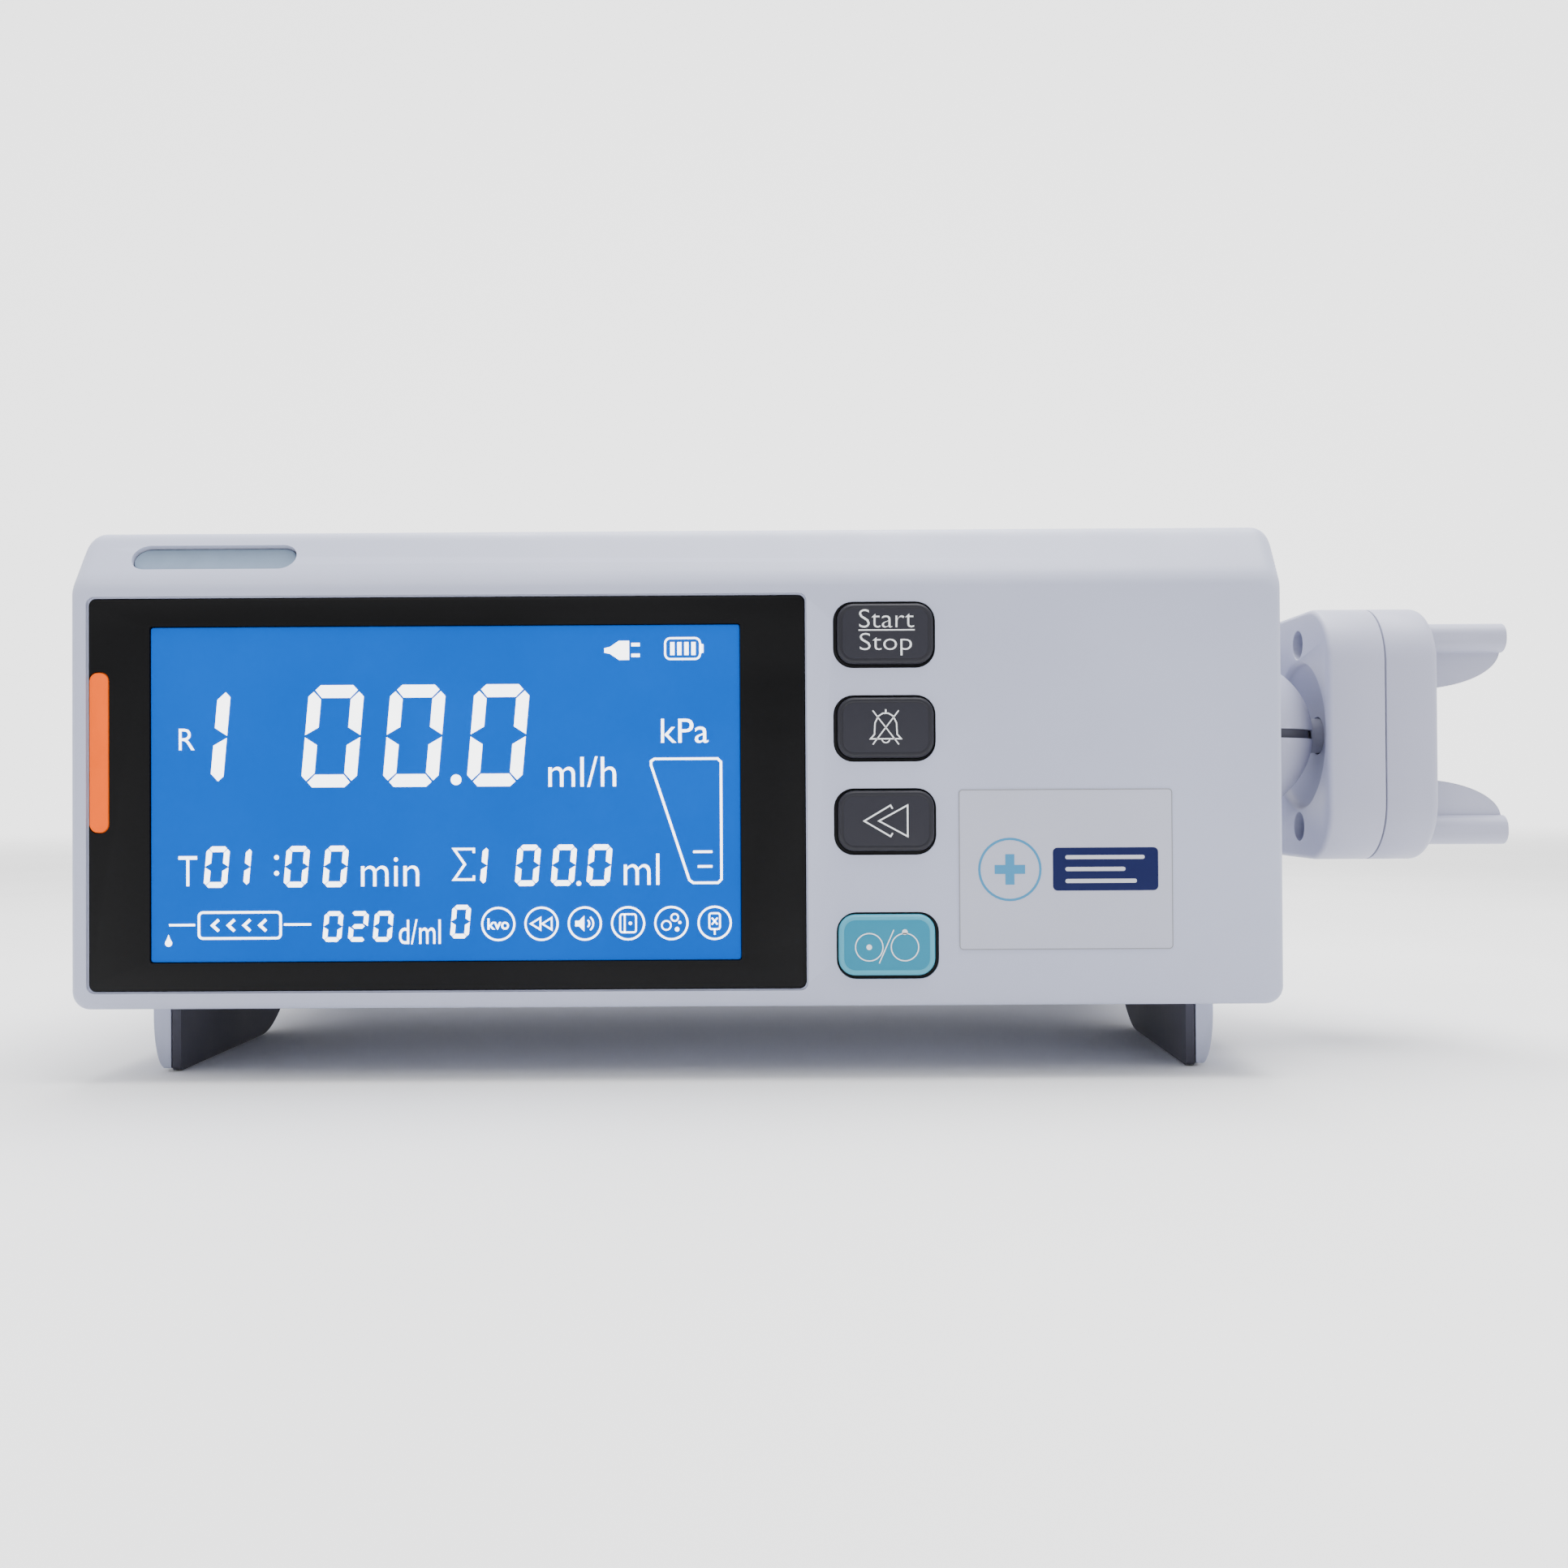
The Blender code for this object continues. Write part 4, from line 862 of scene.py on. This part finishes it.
def make_housing():
    """A box open to the front, notched for the tube, with holes for hub, latch, inlet, socket and air."""
    start, end = HOUSE_A.y, HOUSE_B.y
    rows = [(start, 0.3), (start + 0.1, 0.08), (start + 0.3, 0)]
    rows += [(end - y, inset) for y, inset in reversed(quarter(3.0, 8))]
    shell = loft("rear_cover", [body_ring(y, inset) for y, inset in rows])
    cut(shell, loft("cavity", [body_ring(y, WALL, 6) for y in (start - 1, end - WALL)]))
    tube_z = around(*mid("free_flow_clamp", "z"), 2.8)
    cut(shell, box("notches", (-HALF_W - 1, HALF_W + 1), (start - 2, start + 4.7), tube_z))
    cut(shell, rod("hub_hole", "X", mid("clamp_hub", "yz"), NECK_R + 0.4, HALF_W - 4, HALF_W + 1))
    low, high = limits("door_latch")
    latch_z = around(*mid("door_latch", "z"), 1.6)
    cut(shell, box("latch_slot", (HALF_W - 4, HALF_W + 1), (low.y + 2.0, high.y + 1.0), latch_z))
    low, high = limits("mains_inlet")
    inlet_x, inlet_z = (low.x + 3.5, high.x - 3.5), (low.z + 3.5, high.z - 3.5)
    cut(shell, box("inlet_hole", inlet_x, (end - 4, end + 1), inlet_z))
    cut(shell, rod("socket_hole", "Y", mid("drop_sensor_socket", "xz"), 7.3, end - 4, end + 1))
    make_slots(shell, 7, -16.8, 1.2, (TOP - 34.0, TOP - 14.0), "Y", end - 4, end + 1)
    make_slots(shell, 5, -80.9, 1.1, (50.0, 70.0), "Z", BASE_Z - 1, BASE_Z + WALL + 1)
    screws = [(x, z) for x in (-98.0, 98.0) for z in (BASE_Z + 9.0, TOP - 9.0)]
    for at in screws:
        cut(shell, rod("counterbore", "Y", at, 3.6, end - 1.6, end + 1, 32))
    bevel(shell, 0.25, 2, 50)
    dress(shell, "housing_plastic", "housing", replaces=["rear_housing"])
    for i, at in enumerate(screws):
        make_screw(f"rear_screw_{i + 1}", "Y", at, end - 1.5, 1, 2.9, 1.3, "housing")


def make_screw(name, axis, at, seat, side, radius, tall, body):
    """A pan-head screw with a cross recess, standing on its seat and facing along the axis."""
    profile = ((radius, 0), (radius, tall * 0.45), (radius * 0.86, tall * 0.8), (radius * 0.5, tall))
    head = turned(name, axis, at, [(r, seat + side * along) for r, along in profile], 40)
    deep = sorted((seat + side * tall * 0.35, seat + side * (tall + 1)))
    for wide, slim in ((radius * 0.6, 0.35), (0.35, radius * 0.6)):
        cross = [(at[0] + a * wide, at[1] + b * slim) for a, b in SQUARE]
        cut(head, prism("cross", cross, axis, *deep))
    bevel(head, 0.08, 1, 50)
    return dress(head, "steel", body)


def make_skids():
    """Each front foot is a thin fin that curves in towards the floor, with a dark rubber pad on its inner
    side, which also paints the shade under the body.

    Behind it stands a small round rubber foot."""
    for side, which in ((-1, "left"), (1, "right")):
        low, high = limits(f"skid_{which}")
        pad_low, pad_high = limits(f"skid_pad_{which}")
        wide = high.x - low.x
        inner = low.x if side > 0 else high.x
        turns = [math.radians(90 * i / 12) for i in range(13)]
        section = [(wide * (0.42 + 0.58 * math.sin(turn)), 0.8 * (1 - math.cos(turn))) for turn in turns]
        section += [(wide, 1.0), (0, 1.0), (0, 0.0)]
        fin = []
        pad = []
        for y, lift in skid_profile(low.y, high.y):
            bottom = low.z + lift
            fin.append([(inner + side * out, y, bottom + (high.z - bottom) * up) for out, up in section])
            sole, top = pad_low.z + lift, pad_high.z
            corners = ((pad_low.x, sole), (pad_high.x, sole), (pad_high.x, top), (pad_low.x, top))
            pad.append(at_depth(corners, y))
        fin_piece = bevel(loft(f"foot_fin_{which}", fin), 0.35, 2, 50)
        dress(fin_piece, "housing_plastic", "housing", replaces=[f"skid_{which}"])
        # The pad's dark rubber is partly a sole and partly painted shade for the shadow under the body.
        pad_piece = bevel(loft(f"foot_pad_and_painted_shade_{which}", pad), 0.3, 2, 50)
        dress(pad_piece, "rubber", "housing", replaces=[f"skid_pad_{which}"])

        low, high = limits(f"rear_foot_{which}")
        radius = (high.x - low.x) / 2
        rows = ((3.6, 0.6), (3.2, 0.1), (2.6, 0.0), (1.9, 0.3), (1.4, 1.0),
                (0.6, high.z * 0.6), (0, high.z - 0.6), (0, high.z))
        profile = [(radius - inset, z) for inset, z in rows]
        rear = turned(f"foot_rear_{which}", "Z", mid(f"rear_foot_{which}", "xy"), profile, 48)
        dress(rear, "rubber", "housing", replaces=[f"rear_foot_{which}"])


def skid_profile(front, back):
    """Depth and lift along a foot: flat from a small front radius to a long rise at the rear."""
    flat_to, rise, radius = back - 16.0, 8.5, 0.8
    points = []
    for i in range(6):
        turn = math.radians(90 * i / 5)
        points.append((front + radius * (1 - math.cos(turn)), radius * (1 - math.sin(turn))))
    for i in range(17):
        share = i / 16
        points.append((flat_to + (back - flat_to) * share, rise * (1 - math.cos(share * math.pi / 2))))
    return points


# --- Pole clamp ---

CLAMP_AXIS = mid("clamp_inner_shell", "yz")


def block_ring(x, inset):
    """The clamp block's outline, rounder at its front corners than at its rear ones."""
    low, high = limits("clamp_inner_shell")
    outline = []
    corners = ((low.y, low.z, 180), (high.y, low.z, 270), (high.y, high.z, 0), (low.y, high.z, 90))
    for y, z, turn in corners:
        reach = BLOCK_REAR_R if y == high.y else BLOCK_R
        centre = (y - reach if y == high.y else y + reach, z - reach if z == high.z else z + reach)
        outline += arc(centre, reach - inset, turn, turn + 90, 20)
    return [across("X", point, x) for point in outline]


def make_hub():
    """A domed boss split by a level slot, on a neck and flange, with the swivel's spindle. A dark sheet in
    the slot is painted shadow, and the spindle's dark colour is painted shade.
    """
    high = limits("clamp_hub")[1]
    start, centre = HALF_W + 0.3, HALF_W + 1.9
    first = math.asin((start - centre) / DOME_R)
    last = math.acos(DOME_TIP_R / DOME_R)
    turns = [first + (last - first) * step / 28 for step in range(29)]
    dome = [(DOME_R * math.cos(turn), centre + DOME_R * math.sin(turn)) for turn in turns]
    tip = dome[-1][1] + 0.2
    dome += [(DOME_TIP_R - 0.2, tip - 0.05), (DOME_TIP_R - 0.6, tip)]
    hub = turned("hub_boss", "X", CLAMP_AXIS, dome, 96)
    cut(hub, box("slot", (HALF_W + 0.8, tip + 1), (0, 80), around(CLAMP_AXIS[1], SLOT_HALF)))
    bevel(hub, 0.5, 4, 50)
    dress(hub, "clamp_plastic", "housing", replaces=["clamp_hub"], sharp=50)
    neck = ((NECK_R, HALF_W - 2.3), (NECK_R, HALF_W + 0.25))
    flange = ((FLANGE_R - 0.2, HALF_W - 6), (FLANGE_R, HALF_W - 5.6), (FLANGE_R, HALF_W - 2.7))
    for name, profile in (("hub_neck", neck), ("hub_flange", flange)):
        dress(turned(name, "X", CLAMP_AXIS, profile, 64), "clamp_plastic", "housing")
    # A dark sheet inside the slot: painted shadow for the slot's dark interior.
    inner_r = DOME_R - 0.8
    edge = [(centre + inner_r * math.sin(turn), inner_r * math.cos(turn)) for turn in turns]
    outline = [(x, CLAMP_AXIS[0] - y) for x, y in edge]
    outline += [(x, CLAMP_AXIS[0] + y) for x, y in reversed(edge)]
    slot_shadow_sheet = prism("hub_slot_painted_shadow", outline, "Z", *around(CLAMP_AXIS[1], SLOT_HALF - 0.04))
    dress(slot_shadow_sheet, "clamp_painted_shadow", "housing")
    profile = ((SPINDLE_R, tip - 0.3), (SPINDLE_R, high.x - 2.1), (6.4, high.x - 2.0), (6.4, high.x - 0.3),
               (6.1, high.x))
    spindle = turned("hub_spindle", "X", CLAMP_AXIS, profile, 48)
    # The spindle's dark colour is painted shade, for the shadow between the dome and the block.
    dress(spindle, "clamp_painted_shade", "housing")


def make_inner_block():
    """The block's half towards the housing: two screw wells, and a dish that clears the hub's dome."""
    low, high = limits("clamp_inner_shell")
    left, seam = low.x, high.x
    rows = [(left + y, inset) for y, inset in quarter(1.0, 5)]
    rows += [(seam - 0.12, 0), (seam - 0.04, 0.04), (seam, 0.12)]
    inner = loft("clamp_block_inner", [block_ring(x, inset) for x, inset in rows])
    cut(inner, loft("hollow", [block_ring(x, BLOCK_WALL) for x in (left + 6.2, seam + 1)]))
    for which in ("lower", "upper"):
        node = f"clamp_screw_{which}"
        at = mid(node, "yz")
        seat = limits(node)[1].x
        unite(inner, rod("boss", "X", at, 5.0, left + 1.5, seam - 2))
        cut(inner, rod("screw_well", "X", at, 2.9, left - 1, seat + 0.3))
        head = make_screw(f"block_screw_{which}", "X", at, seat, -1, 2.5, 3.0, "clamp_swivel")
        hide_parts(node)
    rim = left + 0.7
    dish = [(DISH_R + 0.9, left - 1), (DISH_R + 0.7, left - 0.02), (DISH_R + 0.5, left + 0.15), (DISH_R, rim)]
    turns = [math.radians(90 * i / 12) for i in range(1, 13)]
    span = DISH_R - DISH_FLOOR_R
    dish += [(DISH_FLOOR_R + span * math.cos(turn), rim + DISH_DEPTH * math.sin(turn)) for turn in turns]
    cut(inner, turned("dish", "X", CLAMP_AXIS, dish, 96))
    cut(inner, rod("bore", "X", CLAMP_AXIS, SPINDLE_R + 0.25, left - 1, left + 7))
    bevel(inner, 0.3, 3, 50)
    dress(inner, "clamp_plastic", "clamp_swivel", replaces=["clamp_inner_shell"], sharp=50)


def make_outer_block():
    """The block's outer half, with the slot that its jaws slide in and the bore of the knob's stem."""
    low, high = limits("clamp_outer_shell")
    start, right = low.x, high.x
    rows = [(start, 0.12), (start + 0.04, 0.04), (start + 0.12, 0)]
    rows += [(right - x, inset) for x, inset in reversed(quarter(1.8, 8))]
    outer = loft("clamp_block_outer", [block_ring(x, inset) for x, inset in rows])
    cut(outer, loft("hollow", [block_ring(x, BLOCK_WALL) for x in (start - 1, right - 2.6)]))
    jaw_low = limits("lower_jaw")[0]
    jaw_high = limits("upper_jaw")[1]
    slot = rounded(*around(CLAMP_AXIS[0], 5.4), jaw_low.z - 0.4, jaw_high.z + 0.4, 1.0, 4)
    cut(outer, prism("jaw_slot", slot, "X", right - 4, right + 1))
    stem = (*mid("clamp_knob", "x"), CLAMP_AXIS[1])
    cut(outer, rod("knob_bore", "Y", stem, 3.0, CLAMP_AXIS[0] + 12, CLAMP_AXIS[0] + 20))
    bevel(outer, 0.3, 3, 50)
    dress(outer, "clamp_plastic", "clamp_swivel", replaces=["clamp_outer_shell"], sharp=50)


def make_jaws():
    """Mirrored prongs: a round-edged bar outside, and a thinner web whose edge curves in to the block."""
    y, z = CLAMP_AXIS
    bar_in = PRONG_OUT - PRONG_THICK
    root = limits("clamp_outer_shell")[1].x + 0.3
    turns = [math.radians(90 * i / 24) for i in range(25)]
    for side, which in ((1, "upper"), (-1, "lower")):
        low, high = limits(f"{which}_jaw")
        outline = rounded(*around(y, PRONG_HALF), bar_in, PRONG_OUT, 2.6, 8)
        jaw = prism(f"{which}_prong", [(a, z + side * up) for a, up in outline], "X", root, high.x)
        reach = high.x - root - 0.3
        web = [(root, bar_in + 1)]
        web += [(root + reach * math.sin(t), bar_in + 0.5 - (bar_in - 8.5) * math.cos(t)) for t in turns]
        web.append((root + reach, bar_in + 1))
        unite(jaw, prism("web", [(x, z + side * up) for x, up in web], "Y", *around(y, WEB_HALF)))
        tongue_z = sorted((z + side * 12.0, z + side * 20.8))
        unite(jaw, box("tongue", (low.x + 3.4, root + 1), around(y, 4.9), tongue_z))
        bevel(jaw, 0.5, 3, 50)
        dress(jaw, "clamp_plastic", f"{which}_jaw", replaces=[f"{which}_jaw"], sharp=50)


def make_knob():
    """Lobed hand knob with a rounded rim, a shallow dish in its end and a stem into the block."""
    low, high = limits("clamp_knob")
    axis = mid("clamp_knob", "xz")
    radius = (high.x - low.x) / 2
    start, end = high.y - 11.4, high.y
    lobes, lobe_depth = 8, 0.75
    turns = [2 * math.pi * i / (lobes * 12) for i in range(lobes * 12)]
    rows = ((start, 1.0), (start + 0.4, 0.3), (start + 1.0, 0.0), (end - 1.2, 0.0), (end - 0.5, 0.25),
            (end - 0.1, 0.8), (end, 1.6))
    rings = []
    for y, inset in rows:
        reaches = [radius - inset - lobe_depth * (1 + math.cos(lobes * turn)) / 2 for turn in turns]
        rings.append([(axis[0] + reach * math.cos(turn), y, axis[1] + reach * math.sin(turn))
                      for reach, turn in zip(reaches, turns)])
    knob = loft("hand_knob", rings)
    cut(knob, turned("end_dish", "Y", axis, ((4.4, end - 0.8), (5.4, end + 0.5)), 64))
    unite(knob, rod("stem", "Y", axis, 2.7, low.y, start + 1))
    bevel(knob, 0.2, 2, 50)
    dress(knob, "black_plastic", "clamp_knob", replaces=["clamp_knob"], sharp=45)


# --- CAD nodes that stay ---


def paint_frame():
    """Gives every CAD node the look of its material slot. The replaced ones aren't shown."""
    slots = {row["node"]: row["material_slot"] for row in frame["record"]["subparts"]}
    for name, node in frame["nodes"].items():
        node.data.materials.clear()
        node.data.materials.append(LOOKS[slots[name]])
        node.data.shade_smooth()
        node.data.set_sharp_from_angle(angle=math.radians(35))


# --- Stage ---


def make_floor():
    """A pale floor that fades out with distance, so that it meets the background without an edge."""
    ground = solid("floor", [(a * FLOOR_HALF, b * FLOOR_HALF, FLOOR_Z) for a, b in SQUARE], [(0, 1, 2, 3)])
    material, tree, shader = new_material("look_floor", 0.9)
    tone = ramp(tree, noise(tree, 6.0), 0.74, 0.78)
    tree.links.new(tone, shader.inputs["Base Color"])
    reach = new_node(tree, "VectorMath", {0: own_space(tree)})
    reach.operation = "LENGTH"
    near, far = FLOOR_FADE
    fade = new_node(tree, "MapRange", {"Value": reach.outputs["Value"],
                                       "From Min": near, "From Max": far, "To Min": 1.0, "To Max": 0.0})
    fade.interpolation_type = "SMOOTHSTEP"
    tree.links.new(fade.outputs["Result"], shader.inputs["Alpha"])
    ground.data.materials.append(material)


def make_world():
    """White surroundings, dim in front of the object and bright behind it."""
    world = bpy.data.worlds.new("studio")
    world.use_nodes = True
    tree = world.node_tree
    parts = new_node(tree, "SeparateXYZ", {"Vector": new_node(tree, "TexCoord", {}).outputs["Generated"]})
    front, back = STUDIO_WALLS
    level = new_node(tree, "MapRange", {"Value": parts.outputs["Y"],
                                        "From Min": -1.0, "To Min": front, "To Max": back})
    background = tree.nodes["Background"]
    background.inputs["Color"].default_value = (1.0, 1.0, 1.0, 1.0)
    tree.links.new(level.outputs["Result"], background.inputs["Strength"])
    bpy.context.scene.world = world


def make_lights():
    for name, place, size, power in LIGHTS:
        data = bpy.data.lights.new(name, "AREA")
        data.shape = "RECTANGLE"
        data.size = size[0] * MM
        data.size_y = size[1] * MM
        data.energy = power
        obj = placed(name, data)
        obj.location = Vector(place) * MM + ORIGIN
        obj.rotation_euler = (Vector(LIGHT_TARGET) - Vector(place)).to_track_quat("-Z", "Y").to_euler()


def make_camera():
    """Stands 248 mm in front of the door, a little to the right of its middle and about halfway up it."""
    data = bpy.data.cameras.new("camera")
    data.lens = 32.16
    data.sensor_width = 36.0
    data.shift_x = -0.0111
    data.shift_y = -0.0011
    data.clip_start = 0.01
    camera = placed("camera", data)
    place = Matrix.Translation(Vector(CAMERA_AT) * MM + ORIGIN)
    yaw, tilt, roll = (Matrix.Rotation(math.radians(angle), 4, axis) for angle, axis in
                       ((CAMERA_YAW, "Z"), (CAMERA_TILT, "X"), (CAMERA_ROLL, "Z")))
    camera.matrix_world = place @ yaw @ tilt @ roll
    bpy.context.scene.camera = camera


make_camera()
make_floor()
make_world()
make_lights()
paint_frame()
make_door()
make_window()
make_lamp()
make_display()
make_keys()
make_label()
make_housing()
make_skids()
make_hub()
make_inner_block()
make_outer_block()
make_jaws()
make_knob()
